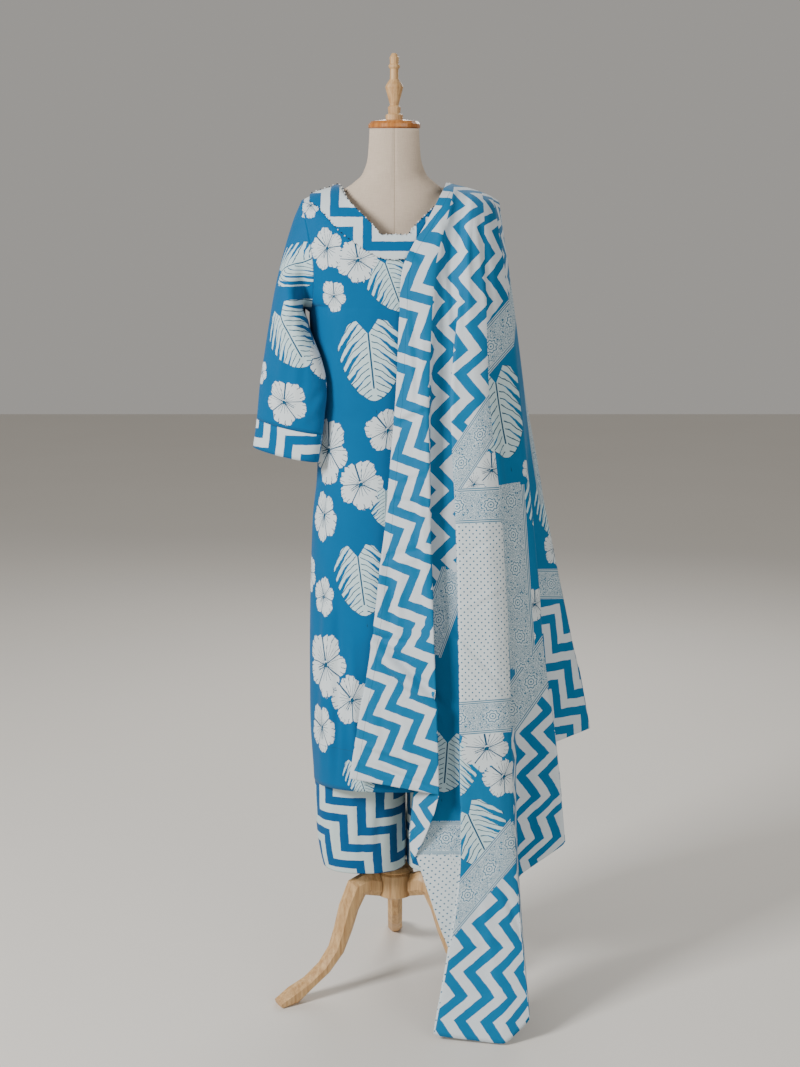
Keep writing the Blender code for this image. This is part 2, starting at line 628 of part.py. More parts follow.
def folded_row(points):
    """One row across the folds: each fold line is rounded, each face gets a middle point"""
    row = [points[0]]
    for k in range(1, len(points)):
        a, b = points[k - 1], points[k]
        span = (b - a).length
        near = min(FOLD_ROUND, span * 0.3)
        step = (b - a) / span
        if k > 1:
            row.append(a + step * near)
        row.append((a + b) / 2)
        if k < len(points) - 1:
            before = b - step * near
            following = points[k + 1]
            after = b + (following - b) / (following - b).length * min(FOLD_ROUND, (following - b).length * 0.3)
            row.append(before)
            row.append(b * 0.5 + (before + after) * 0.25)
    row.append(points[-1])
    return row


def make_dupatta(cloth):
    """The four stretches of the sheet"""
    front = [fold_stations(row, True) for row in FRONT_FOLDS]
    back = [fold_stations(row, False) for row in BACK_FOLDS]
    side_for_back = [fold_stations(FRONT_FOLDS[-1], False)]
    front_rows = [folded_row([route(line, p) for line in front]) for p in FOLD_ROWS]
    back_rows = [folded_row([route(line, p) for line in side_for_back + back]) for p in FOLD_ROWS]
    def stretch(name, rows, first, last, hold):
        grid = [[hold(p) for p in row[first:last + 1]] for row in rows]
        if first:
            for row in grid:
                row[0] = row[0] + (row[1] - row[0]).normalized() * SEAM
        wall(name, grid, DUPATTA_WALL, cloth, outward=-1, hold=hold)

    end = len(front_rows[0]) - 1
    pleat_end, fall_end = 4 * PLEAT_LINE + 1, 4 * FALL_LINE + 1
    stretch("dupatta_front_pleat", front_rows, 0, pleat_end, keep_front)
    stretch("dupatta_front_fall", front_rows, pleat_end, fall_end, keep_front)
    stretch("dupatta_side_fall", front_rows, fall_end, end, keep_front)
    stretch("dupatta_back_fall", back_rows, 0, len(back_rows[0]) - 1, keep_back)


def make_form(linen):
    """The padded torso and neck"""
    rings = [body_ring(w, f, b, z, 24) for z, w, f, b in FORM_ROWS]
    loft("form_body", rings, linen)


def make_stand(light_wood, cap_wood):
    """Cap and finial above, post, hub and three curved legs below"""
    turned("neck_cap", NECK_CAP, CAP_Z, 24, cap_wood)
    turned("finial", FINIAL, FINIAL_Z, 16, light_wood)
    turned("stand_pole", ((POLE_R, POLE_Z[0]), (POLE_R, POLE_Z[1])), 0.0, 12, light_wood)
    turned("stand_hub", HUB, 0.0, 24, light_wood)
    for number, angle in enumerate(LEG_ANGLES, 1):
        out = Vector((math.cos(math.radians(angle)), math.sin(math.radians(angle)), 0))
        across = Vector((-out.y, out.x, 0))
        rings = []
        for i, (reach, height, half) in enumerate(STAND_LEG_ROWS):
            before = STAND_LEG_ROWS[max(i - 1, 0)]
            after = STAND_LEG_ROWS[min(i + 1, len(STAND_LEG_ROWS) - 1)]
            run, rise = after[0] - before[0], after[1] - before[1]
            size = math.hypot(run, rise)
            up, back = run / size, -rise / size
            if i == 0:
                up, back = 1.0, 0.0
            ring = []
            for k in range(8):
                turn = 2 * math.pi * (k + 0.5) / 8
                u = max(-0.7, min(0.7, math.cos(turn))) / 0.7 * LEG_WIDTH / 2
                v = max(-0.924, min(0.924, math.sin(turn))) / 0.924 * half
                u *= 0.72 if abs(math.cos(turn)) < 0.5 else 1.0
                point = out * (reach + back * v) + across * u
                ring.append(Vector((point.x, point.y, max(height + up * v, 0.0))))
            rings.append(ring)
        loft("stand_leg_%d" % number, rings, light_wood)


def stand_on_origin():
    """Put the middle of the footprint, on the floor, at the origin"""
    bpy.context.view_layer.update()
    corners = [v.co for thing in bpy.data.objects if thing.type == "MESH" for v in thing.data.vertices]
    low = [min(c[k] for c in corners) for k in range(3)]
    high = [max(c[k] for c in corners) for k in range(3)]
    floor_middle.location = (-(low[0] + high[0]) / 2, -(low[1] + high[1]) / 2, -low[2])


for old in list(bpy.data.objects):
    bpy.data.objects.remove(old, do_unlink=True)

floor_middle = bpy.data.objects.new("floor_middle", None)
bpy.context.collection.objects.link(floor_middle)

print_cotton = make_material("blue printed cotton", (0.014, 0.177, 0.407), 0.85)
chevron_cotton = make_material("chevron printed cotton", (0.15, 0.33, 0.47), 0.85)
scarf_cotton = make_material("scarf cotton", (0.20, 0.40, 0.53), 0.9)
waist_cotton = make_material("waistband cotton", (0.10, 0.28, 0.45), 0.85)
linen = make_material("linen", (0.61, 0.49, 0.38), 0.9)
pine = make_material("light pine", (0.58, 0.36, 0.16), 0.5)
cherry = make_material("orange brown wood", (0.46, 0.19, 0.05), 0.35)

make_form(linen)
make_stand(pine, cherry)
make_trousers(chevron_cotton, waist_cotton)
make_kameez(print_cotton, chevron_cotton)
make_dupatta(scarf_cotton)
stand_on_origin()
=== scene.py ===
# %% [markdown]
# # Printed salwar kameez suit on a dress form
#
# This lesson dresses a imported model, and each cell prints what it made.  The real suit is cotton,
# cut flat, block-printed and sewn, hung on a padded form.  Such cloth could be simulated, but
# folds that have to match one photo are easier to hold as tables of sizes: each piece is a fine
# mesh on the form of its solid, with soft creases pressed in.  The prints are worked out by
# nodes from coordinates that the mesh carries, so no picture is used.
#
# The first cell loads the solids and finds the axis of the post, where the tables start.

import math

import bmesh
import bpy
import numpy as np
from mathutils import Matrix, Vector


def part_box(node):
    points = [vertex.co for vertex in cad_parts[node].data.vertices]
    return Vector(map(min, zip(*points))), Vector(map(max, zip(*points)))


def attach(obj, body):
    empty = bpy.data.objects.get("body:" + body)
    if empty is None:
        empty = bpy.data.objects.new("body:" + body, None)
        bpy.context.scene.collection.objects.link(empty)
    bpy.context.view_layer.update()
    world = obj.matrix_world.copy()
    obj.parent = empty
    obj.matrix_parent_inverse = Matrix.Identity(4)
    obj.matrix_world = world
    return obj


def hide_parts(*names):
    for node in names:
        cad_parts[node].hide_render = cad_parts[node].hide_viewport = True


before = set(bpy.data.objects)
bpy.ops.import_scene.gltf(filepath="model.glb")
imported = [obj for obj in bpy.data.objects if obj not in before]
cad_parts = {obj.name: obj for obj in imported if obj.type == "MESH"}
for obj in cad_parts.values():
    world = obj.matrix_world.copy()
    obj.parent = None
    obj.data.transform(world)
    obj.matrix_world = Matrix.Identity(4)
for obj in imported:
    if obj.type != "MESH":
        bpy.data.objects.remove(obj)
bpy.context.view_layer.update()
post_low, post_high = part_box("stand_pole")
MIDDLE = (post_low + post_high) / 2          # the post's axis; the tables below start from it
SHIFT = np.array([MIDDLE.x, MIDDLE.y, 0.0])

# %% [markdown]
# ## Camera
# A camera is a place, a tilt and a lens length.  They could be set by eye, but here they were
# worked out from the photo: the knob, the hems and the foot of the stand fall on their own
# pixels.  The camera stands 3.2 m in front at a height of 1.5 m and looks down by ten and a
# half degrees.  The same sums, in the function pixels, later place the creases and the prints.

# %% Camera
CAMERA_X, CAMERA_Y, CAMERA_Z = 0.0104, -3.2, 1.504
TILT = math.radians(10.53)
FOCUS = 1697.0               # focal length in the photo's pixels
PHOTO_W, PHOTO_H = 800, 1067  # the photo's size in pixels
CLOTH_AWAY = 3.1             # metres from the camera to the cloth
PIXEL = CLOTH_AWAY / FOCUS   # metres across one pixel at the cloth
SENSOR = 36.0                # width of the camera's sensor in millimetres


def pixels(points):
    """Where points (post frame) fall in the photo, in pixels from its upper left corner"""
    dx, dy, dz = points[..., 0] - CAMERA_X, points[..., 1] - CAMERA_Y, points[..., 2] - CAMERA_Z
    away = dy * math.cos(TILT) - dz * math.sin(TILT)
    up = dy * math.sin(TILT) + dz * math.cos(TILT)
    return np.stack([PHOTO_W / 2 + FOCUS * dx / away, PHOTO_H / 2 - FOCUS * up / away], -1)


camera_data = bpy.data.cameras.new("camera")
camera_data.sensor_width = SENSOR
camera_data.sensor_fit = "AUTO"
camera_data.lens = SENSOR * FOCUS / PHOTO_H
camera = bpy.data.objects.new("camera", camera_data)
camera.location = (CAMERA_X + SHIFT[0], CAMERA_Y + SHIFT[1], CAMERA_Z)
camera.rotation_euler = (math.pi / 2 - TILT, 0, 0)
bpy.context.scene.collection.objects.link(camera)
bpy.context.scene.camera = camera
print("camera lens %.1f mm" % camera_data.lens)

# %% [markdown]
# ## Nodes from code
# A material is a tree of nodes.  It could be wired by hand in the editor, but sums of many nodes
# are easier to read as code, so one small function adds a node and links it.  Colours are
# written as sRGB hex, as in a paint chart, and turned into the linear light that shaders need.


# %% Node helper and colours
def linear(code):
    """A colour written as sRGB hex, in linear light"""
    parts = [int(code[i:i + 2], 16) / 255 for i in (1, 3, 5)]
    # the curve of the sRGB standard: straight near black, a power above it
    return tuple(c / 12.92 if c <= 0.04045 else ((c + 0.055) / 1.055) ** 2.4 for c in parts) + (1.0,)


def add(tree, kind, *inputs, out=0, **settings):
    """One node with its settings and links; a bare word such as MULTIPLY is a math node"""
    bare = not kind.startswith("ShaderNode")
    made = tree.nodes.new("ShaderNodeMath" if bare else kind)
    if bare:
        made.operation = kind
    for key, value in settings.items():
        setattr(made, key, value)
    for place, value in enumerate(inputs):
        if isinstance(value, bpy.types.NodeSocket):
            tree.links.new(value, made.inputs[place])
        elif value is not None:
            made.inputs[place].default_value = value
    return made.outputs[out]


def layers(tree, ground, *laid):
    """A ground colour with others laid over it in turn, each given as its share and its colour"""
    for share, colour in laid:
        ground = add(tree, "ShaderNodeMix", share, *[None] * 5, ground, colour, out=2, data_type="RGBA")
    return ground


def per_metre(millimetres):
    """The scale of a noise whose cells have a real size: how many of them go into a metre"""
    return float(round(1000 / millimetres))


def new_material(name):
    """An empty node material with its Principled shader"""
    material = bpy.data.materials.new(name)
    material.use_nodes = True
    tree = material.node_tree
    return material, tree, tree.nodes["Principled BSDF"]


def wire(tree, shader, **inputs):
    """Set the shader's named inputs, as values or links"""
    for key, value in inputs.items():
        socket = shader.inputs[key.replace("_", " ")]
        if isinstance(value, bpy.types.NodeSocket):
            tree.links.new(value, socket)
        else:
            socket.default_value = value


print("orange in linear light:", [round(c, 3) for c in linear("#FF8000")])
print("cells of 5 mm:", per_metre(5), "a metre")

# %% [markdown]
# ## Floor and light
# The photo was taken in soft studio light.  A plain pale floor and three area lights stand in for
# the studio.  The key light comes from the upper left and is small, so that it rakes across the
# folds and shows them, a wide weak one fills the shadows, and one behind brightens the edges.

# %% Floor and light
FLOOR_SIZE, FLOOR_MIDDLE = 14, (0, 3, 0)     # metres
AIM = Vector((0, 0, 0.95))                    # the lights point at the middle of the suit
# Floor paint: matt, rolled on, so its tone drifts by a shade or two and nothing shines in it.
floor_material, tree, shader = new_material("matt_floor_paint")
place = add(tree, "ShaderNodeTexCoord", out=3)
cloud = add(tree, "ShaderNodeTexNoise", place, None, 0.8, 3.0, 0.5)
tone = layers(tree, linear("#D6D1C9"), (cloud, linear("#DDD9D2")))
wire(tree, shader, Base_Color=tone, Roughness=0.75)
bpy.ops.mesh.primitive_plane_add(size=FLOOR_SIZE, location=FLOOR_MIDDLE)
floor = bpy.context.object
floor.name = "studio_floor"
floor.data.materials.append(floor_material)

LIGHTS = (
    # name, place, size, watts
    ("key_light", (-3.1, -2.4, 3.0), 1.1, 245.0),
    ("fill_light", (2.2, -3.4, 1.8), 2.5, 45.0),
    ("back_light", (0.5, 2.6, 2.8), 2.0, 55.0),
)
for name, where, size, watts in LIGHTS:
    data = bpy.data.lights.new(name, "AREA")
    data.size = size
    data.energy = watts
    lamp = bpy.data.objects.new(name, data)
    lamp.location = where
    lamp.rotation_euler = (AIM - Vector(where)).to_track_quat("-Z", "Y").to_euler()
    bpy.context.scene.collection.objects.link(lamp)
world = bpy.data.worlds.new("studio")
world.use_nodes = True
wire(world.node_tree, world.node_tree.nodes["Background"], Color=linear("#E9E5DF"), Strength=0.44)
bpy.context.scene.world = world
print("floor and", len(LIGHTS), "lights")

# %% [markdown]
# ## Printed cotton
# The real cloth is woven cotton, printed with carved blocks: the edges of the shapes wobble, the
# fills are flat and the outlines are drawn in dark ink.  A picture of the print would be quicker,
# but nodes stay sharp from near and need no file.  One print serves the whole suit.  The mesh
# tells it which ground lies where: 0 chevrons, 1 plain blue with flowers and leaves, 2 dots.
# Scroll bands lie over the ground.

# %% Print sizes
OFF_WHITE, PALE_AQUA, OUTLINE = linear("#CDD6D9"), linear("#BBD3D6"), linear("#0E4765")
DOT_GROUND, DOT_INK = linear("#CBD5D8"), linear("#1F5F7E")
BAND_GROUND, BAND_INK = linear("#BCCBD1"), linear("#1F6484")
# metres, measured off the photo at the scale of PIXEL
CHEVRON_STEP, CHEVRON_WIDE = 0.085, 0.048    # length of a zigzag's tooth pair, width of two stripes
CHEVRON_SHAKE = 0.004                         # how far a stripe's edge wobbles
DOT_STEP, DOT_R = 0.0125, 0.0015              # from dot to dot, radius of a dot
BAND_HALF = 0.035                             # half width of a scroll band
ROSETTE_STEP = 0.062                          # from rosette to rosette along a band
# millimetres: one cell of the weave, of a crinkle, of the dye's drift, of a stripe's wobble and of
# the curls in a band.  Real threads lie 0.3 mm apart, too fine to show, so the weave is coarser.
WEAVE_MM, CRINKLE_MM, DYE_MM, WOBBLE_MM, CURL_MM = 0.7143, 38.5, 111.0, 16.7, 8.33
print("zigzag %.0f mm, dots %.1f mm, rosettes %.0f mm apart"
      % (CHEVRON_STEP * 1000, DOT_STEP * 1000, ROSETTE_STEP * 1000))

# %% [markdown]
# A flower and a leaf are drawn in maps of their own, where the motif's radius is 1.  The distance
# from its middle against an edge that swings with the angle makes petals; thin shares of the
# angle make seams, veins and nicks.  Numbers below are shares of the radius or turns.


# %% Flower and leaf
def uv(tree, name):
    """The two coordinates of one of the mesh's maps"""
    both = add(tree, "ShaderNodeUVMap", uv_map=name)
    x = add(tree, "ShaderNodeSeparateXYZ", both)
    return both, x, x.node.outputs[1]


def between(tree, value, low, high):
    """1 where the value lies between the limits"""
    return add(tree, "MULTIPLY", add(tree, "GREATER_THAN", value, low), add(tree, "LESS_THAN", value, high))


def length(tree, x, y):
    """The distance of a point from the middle of its map"""
    return add(tree, "SQRT", add(tree, "ADD", add(tree, "MULTIPLY", x, x), add(tree, "MULTIPLY", y, y)))


def hibiscus(tree):
    """Masks of a five-petalled flower and of its drawn lines"""
    both, x, y = uv(tree, "flower")
    r = length(tree, x, y)
    rough = add(tree, "SUBTRACT", add(tree, "ShaderNodeTexNoise", both, None, 4.5, 3.0, 0.6), 0.5)
    heading = add(tree, "ARCTAN2", y, x)
    # five petals round the middle, spread a little unevenly
    swing = add(tree, "MULTIPLY", add(tree, "SINE", add(tree, "MULTIPLY", heading, 2.0)), 0.16)
    turn = add(tree, "ADD", add(tree, "MULTIPLY", heading, 5 / math.tau), swing)
    petal = add(tree, "SUBTRACT", add(tree, "FRACT", add(tree, "ADD", turn, 5.25)), 0.5)
    off = add(tree, "ABSOLUTE", petal)
    # the edge dips between two petals and wobbles as a block's edge does
    dip = add(tree, "POWER", add(tree, "MULTIPLY", off, 2.0), 2.6)
    edge = add(tree, "SUBTRACT", add(tree, "ADD", 0.93, add(tree, "MULTIPLY", rough, 0.34)),
               add(tree, "MULTIPLY", dip, 0.22))
    edge = add(tree, "ADD", edge, add(tree, "MULTIPLY", add(tree, "COSINE", heading), 0.09))
    inside = add(tree, "LESS_THAN", r, edge)
    # ink: seams between the petals, veins up to an uneven reach, nicks at the edge, stamens, the eye
    seam = add(tree, "MULTIPLY", add(tree, "SUBTRACT", 0.5, off), add(tree, "MULTIPLY", r, 1.25))
    seams = add(tree, "MULTIPLY", add(tree, "LESS_THAN", seam, 0.022), between(tree, r, 0.1, 0.80))
    fan = add(tree, "ABSOLUTE", add(tree, "SUBTRACT", add(tree, "FRACT", add(tree, "ADD",
              add(tree, "MULTIPLY", petal, 5.0), add(tree, "MULTIPLY", rough, 0.9))), 0.5))
    reach = add(tree, "ADD", 0.50, add(tree, "MULTIPLY", add(tree, "COSINE",
                add(tree, "MULTIPLY", turn, 31.0)), 0.16))
    veins = add(tree, "MULTIPLY", add(tree, "LESS_THAN", add(tree, "MULTIPLY", fan, r), 0.030),
                add(tree, "MULTIPLY", add(tree, "LESS_THAN", r, reach), add(tree, "GREATER_THAN", r, 0.1)))
    nicks = add(tree, "MULTIPLY", add(tree, "LESS_THAN", fan, 0.06),
                add(tree, "GREATER_THAN", r, add(tree, "SUBTRACT", edge, 0.16)))
    stamen = add(tree, "ABSOLUTE", add(tree, "SUBTRACT", y, add(tree, "MULTIPLY", x, 0.2)))
    stamens = add(tree, "MULTIPLY", between(tree, stamen, 0.018, 0.045), between(tree, x, 0.0, 0.48))
    eye = add(tree, "LESS_THAN", add(tree, "ADD", r, add(tree, "MULTIPLY", rough, 0.20)), 0.085)
    lines = add(tree, "MAXIMUM", add(tree, "MAXIMUM", seams, veins), add(tree, "MAXIMUM", nicks,
                add(tree, "MAXIMUM", stamens, eye)))
    return inside, add(tree, "MULTIPLY", lines, inside)


def split_leaf(tree):
    """Masks of a split leaf and of its hatching; +Y of its map is the tip"""
    both, x, y = uv(tree, "leaf")
    rough = add(tree, "SUBTRACT", add(tree, "ShaderNodeTexNoise", both, None, 3.0, 2.0, 0.5), 0.5)
    side = add(tree, "ABSOLUTE", x)
    # an oval, wider below, with a notch at the stalk
    below = add(tree, "SUBTRACT", 1.0, add(tree, "MULTIPLY", y, y))
    body = add(tree, "SQRT", add(tree, "MAXIMUM", below, 0.0))
    half = add(tree, "MULTIPLY", body, add(tree, "SUBTRACT", 0.86, add(tree, "MULTIPLY", y, 0.30)))
    half = add(tree, "ADD", half, add(tree, "MULTIPLY", rough, 0.12))
    notch = add(tree, "LESS_THAN", side, add(tree, "MULTIPLY", add(tree, "SUBTRACT", -0.62, y), 0.8))
    inside = add(tree, "MULTIPLY", add(tree, "LESS_THAN", side, half), add(tree, "SUBTRACT", 1.0, notch))
    # slits and hatching sweep up and out from the rib
    sweep = add(tree, "SUBTRACT", y, add(tree, "MULTIPLY", add(tree, "POWER", side, 1.35), 0.85))
    sweep = add(tree, "ADD", sweep, add(tree, "MULTIPLY", rough, 0.16))
    slit = add(tree, "FRACT", add(tree, "MULTIPLY", sweep, 3.0))
    reach = add(tree, "SUBTRACT", add(tree, "MULTIPLY", side, 1.05), 0.16)
    slits = add(tree, "LESS_THAN", slit, reach)
    hatch = add(tree, "LESS_THAN", add(tree, "FRACT", add(tree, "MULTIPLY", sweep, 6.0)), 0.17)
    hatch = add(tree, "MULTIPLY", hatch, add(tree, "GREATER_THAN", side, 0.06))
    rib = add(tree, "MULTIPLY", add(tree, "LESS_THAN", side, 0.022), add(tree, "LESS_THAN", y, 0.7))
    rim = add(tree, "GREATER_THAN", side, add(tree, "SUBTRACT", half, 0.025))
    inside = add(tree, "MULTIPLY", inside, add(tree, "SUBTRACT", 1.0, slits))
    return inside, add(tree, "MULTIPLY", add(tree, "MAXIMUM", add(tree, "MAXIMUM", hatch, rib), rim), inside)


print("flower and leaf drawn by", hibiscus.__name__, "and", split_leaf.__name__)

# %% [markdown]
# The grounds: stripes that a ping-pong sum folds into zigzags, a band of rosettes between curls
# with two borders, and two staggered grids of dots.  Their maps are in metres on the cloth, but
# across a band they count its half width as 1.


# %% Zigzags, bands and dots
def zigzags(tree):
    """1 on the pale stripes of the chevrons"""
    both, s, t = uv(tree, "chevron")
    shake = add(tree, "ShaderNodeTexNoise", both, None, per_metre(WOBBLE_MM), 2.0, 0.5)
    shake = add(tree, "SUBTRACT", shake, 0.5)
    across = add(tree, "ADD", s, add(tree, "PINGPONG", t, CHEVRON_STEP / 2))
    across = add(tree, "ADD", across, add(tree, "MULTIPLY", shake, CHEVRON_SHAKE))
    return add(tree, "LESS_THAN", add(tree, "FRACT", add(tree, "DIVIDE", across, CHEVRON_WIDE)), 0.50)


def scroll_band(tree):
    """Where a scroll band lies, and its drawn lines"""
    _, a, b = uv(tree, "band")
    side = add(tree, "ABSOLUTE", b)
    here = add(tree, "LESS_THAN", side, 1.0)
    border = add(tree, "MAXIMUM", between(tree, side, 0.80, 0.85), between(tree, side, 0.91, 0.96))
    cell = add(tree, "MULTIPLY", add(tree, "SUBTRACT", add(tree, "FRACT",
               add(tree, "DIVIDE", a, ROSETTE_STEP)), 0.5), ROSETTE_STEP)
    high = add(tree, "MULTIPLY", b, BAND_HALF)
    r = length(tree, cell, high)
    spin = add(tree, "SINE", add(tree, "MULTIPLY", add(tree, "ARCTAN2", high, cell), 8.0))
    wavy = add(tree, "ADD", r, add(tree, "MULTIPLY", spin, 0.0013))
    rings = add(tree, "MAXIMUM", between(tree, wavy, 0.0105, 0.0125), between(tree, r, 0.0050, 0.0065))
    rings = add(tree, "MAXIMUM", rings, add(tree, "LESS_THAN", r, 0.0018))
    flat = add(tree, "ShaderNodeCombineXYZ", a, high)
    curls = add(tree, "ShaderNodeTexNoise", flat, None, per_metre(CURL_MM), 1.0, 0.5)
    curls = add(tree, "FRACT", add(tree, "MULTIPLY", curls, 9.0))
    curls = add(tree, "ABSOLUTE", add(tree, "SUBTRACT", curls, 0.5))
    outside = add(tree, "GREATER_THAN", wavy, 0.0150)
    curls = add(tree, "MULTIPLY", add(tree, "LESS_THAN", curls, 0.17), outside)
    curls = add(tree, "MULTIPLY", curls, add(tree, "LESS_THAN", side, 0.76))
    return here, add(tree, "MAXIMUM", border, add(tree, "MAXIMUM", rings, curls))


def dots(tree):
    """Small dots in staggered rows"""
    _, x, y = uv(tree, "cloth")
    marks = None
    for offset in (0.0, 0.5):
        cells = []
        for axis in (x, y):
            cell = add(tree, "FRACT", add(tree, "ADD", add(tree, "DIVIDE", axis, DOT_STEP), offset))
            cell = add(tree, "MULTIPLY", add(tree, "SUBTRACT", cell, 0.5), DOT_STEP)
            cells.append(add(tree, "MULTIPLY", cell, cell))
        mark = add(tree, "LESS_THAN", add(tree, "ADD", *cells), DOT_R ** 2)
        marks = mark if marks is None else add(tree, "MAXIMUM", marks, mark)
    return marks


print("grounds ready")

# %% [markdown]
# The cloth under the print.  Dye takes unevenly, so the blue drifts by an eighth.  The weave is
# the finest noise that shows, and over it lie crinkles of a few centimetres.  Cotton has a faint
# sheen at glancing angles and hardly any gloss, which keeps the colours flat and deep.


# %% Three cottons
def printed_cotton(name, blue, pale, fine, hem=(0, 0.0, 0.0)):
    """Block-printed cotton; fine is how thin and crinkled it is, from 0 to 1.

    hem: which cloth coordinate it is measured on, and where its stitched line lies, in metres.
    """
    material, tree, shader = new_material(name)
    cloth = add(tree, "ShaderNodeUVMap", uv_map="cloth")
    cloud = add(tree, "ShaderNodeTexNoise", cloth, None, per_metre(DYE_MM), 3.0, 0.6)
    weaker, stronger = (tuple(c * share for c in blue[:3]) + (1,) for share in (0.88, 1.12))
    ground_blue = layers(tree, weaker, (cloud, stronger))
    kind = add(tree, "ShaderNodeAttribute", attribute_name="ground", out=2)
    plain, dotted = between(tree, kind, 0.5, 1.5), add(tree, "GREATER_THAN", kind, 1.5)
    printed = [(zigzags(tree), pale), (plain, ground_blue)]
    for drawing, fill in ((split_leaf, PALE_AQUA), (hibiscus, OFF_WHITE)):
        inside, lines = (add(tree, "MULTIPLY", mask, plain) for mask in drawing(tree))
        printed += [(inside, fill), (lines, OUTLINE)]
    band, lines = scroll_band(tree)
    parts = add(tree, "ShaderNodeSeparateXYZ", cloth).node.outputs
    stitched = between(tree, parts[hem[0]], hem[1], hem[2])
    printed += [(dotted, DOT_GROUND), (add(tree, "MULTIPLY", dotted, dots(tree)), DOT_INK),
                (band, BAND_GROUND), (add(tree, "MULTIPLY", band, lines), BAND_INK),
                (add(tree, "MULTIPLY", stitched, 0.45), OUTLINE)]
    colour = layers(tree, ground_blue, *printed)
    weave = add(tree, "ShaderNodeTexNoise", cloth, None, per_metre(WEAVE_MM), 1.0, 0.5)
    crinkle = add(tree, "ShaderNodeTexNoise", cloth, None, per_metre(CRINKLE_MM), 3.0, 0.55)
    height = add(tree, "ADD", add(tree, "MULTIPLY", weave, 0.10), add(tree, "MULTIPLY", crinkle, 0.6 + fine))
    bump = add(tree, "ShaderNodeBump", 0.35 + 0.25 * fine, 0.0022, None, height)
    wire(tree, shader, Base_Color=colour, Roughness=0.82, Normal=bump)
    wire(tree, shader, Sheen_Weight=0.05, Sheen_Roughness=0.5, Specular_IOR_Level=0.2)
    return material


# Cambric: closely woven cotton, pressed between hot rollers.  Smooth and dense, so its blue is deep
# and its print crisp.  The hem's stitched line is measured up the cloth.
KURTA_HEM = (1, 0.5150, 0.5162)
kurta_cotton = printed_cotton("block_printed_cambric", linear("#02598A"), linear("#C9D5D9"), 0.2, KURTA_HEM)
# Poplin: cotton with a fine rib across, dyed the darkest.  It has body and hangs almost flat.
trouser_cotton = printed_cotton("block_printed_poplin", linear("#035083"), linear("#BFCFCE"), 0.2)
# Mulmul: very thin cotton, loosely woven and only washed.  It crinkles most and takes dye lightly,
# so it looks paler and softer.  Its stitched line is measured from the inner edge.
SCARF_HEM = (0, 0.0135, 0.0146)
scarf_cotton = printed_cotton("block_printed_mulmul", linear("#0A6996"), linear("#C8D1D6"), 0.8, SCARF_HEM)
print("three printed cottons:", kurta_cotton.name, trouser_cotton.name, scarf_cotton.name)

# %% [markdown]
# ## Cloth from tables
# The tables repeat the solids' own sizes, so each sheet lies on its solid.  A coarse grid of
# points could be smoothed by a modifier, but a curve through the points keeps every one of them
# where the table says.


# %% Smooth curves and grids
def spline(points, steps, closed=False):
    """A smooth curve through rows of points (Catmull-Rom), with steps between each two"""
    count = len(points)
    shares = np.arange(steps) / steps
    made = []
    for i in range(count if closed else count - 1):
        b, c = points[i], points[(i + 1) % count]
        a = points[i - 1] if closed or i else 2 * b - c
        d = points[(i + 2) % count] if closed or i + 2 < count else 2 * c - b
        t = shares.reshape((-1,) + (1,) * b.ndim)
        made.append(0.5 * (2 * b + (c - a) * t + (2 * a - 5 * b + 4 * c - d) * t**2
                           + (3 * b - a - 3 * c + d) * t**3))
    if not closed:
        made.append(points[-1:])
    return np.concatenate(made)


def refine(grid, down, across, closed=False):
    """A finer grid through a coarse one"""
    fine = spline(np.asarray(grid, float), down)
    return spline(fine.swapaxes(0, 1), across, closed).swapaxes(0, 1)


print("a curve through 3 points, 4 steps between two:", len(spline(np.eye(3), 4)), "points")

# %% [markdown]
# ## Creases
# Worn cotton has sharp creases with a softer roll beside each, and low waves all over.  Sculpting
# would make them too, but a crease that is a line in the photo's pixels can be listed: from here
# to there, so wide, so high.  All sizes end up in metres.


# %% Creases and ripples
WAVES = 7          # waves that add up to one ripple


def normals(grid, closed=False):
    """Unit normals of a grid, by differences"""
    if closed:
        side = np.roll(grid, -1, 1) - np.roll(grid, 1, 1)
    else:
        side = np.gradient(grid, axis=1)
    found = np.cross(side, np.gradient(grid, axis=0))
    return found / np.maximum(np.linalg.norm(found, axis=-1, keepdims=True), 1e-9)


def crease(grid, rows, outward, closed=False):
    """Press soft troughs (minus) and ridges (plus) into a grid, each with a lower fold beside it.

    Each row: x0, y0, x1, y1 in the photo's pixels, half width in pixels, height in millimetres.
    """
    out = normals(grid, closed) * outward
    spots = pixels(grid)
    total = np.zeros(grid.shape[:2])
    for x0, y0, x1, y1, half, height in rows:
        run = np.array([x1 - x0, y1 - y0], float)
        size = np.linalg.norm(run)
        along = ((spots - (x0, y0)) @ run) / size**2
        off = ((spots - (x0, y0)) @ np.array([-run[1], run[0]])) / size / half
        # the ends run out softly
        past = np.maximum(np.maximum(-along, along - 1), 0) * size / half
        taper = np.sin(np.pi * np.clip(along, 0.02, 0.98)) ** 0.6 * np.exp(-past**2 * 1.6)
        # a ridge, and 1.1 half widths beside it a trough of 0.6 of its height
        pinch = np.exp(-(off**2) * 3.0) - 0.6 * np.exp(-((off - 1.1) ** 2) * 3.0)
        total += height * 0.001 * taper * pinch
    return grid + out * total[..., None]


def ripple(grid, amount, size, seed, closed=False):
    """Low uneven waves over a whole sheet; amount and size are a wave's height and spread in metres"""
    numbers = np.random.default_rng(seed)
    wave = np.zeros(grid.shape[:2])
    for _ in range(WAVES):
        heading = numbers.normal(size=3) * (1.0, 1.0, 0.55) / size
        wave += np.sin(grid @ heading + numbers.uniform(0, math.tau)) / WAVES
    return grid + normals(grid, closed) * (wave * amount)[..., None]


print("ripples of", WAVES, "waves")

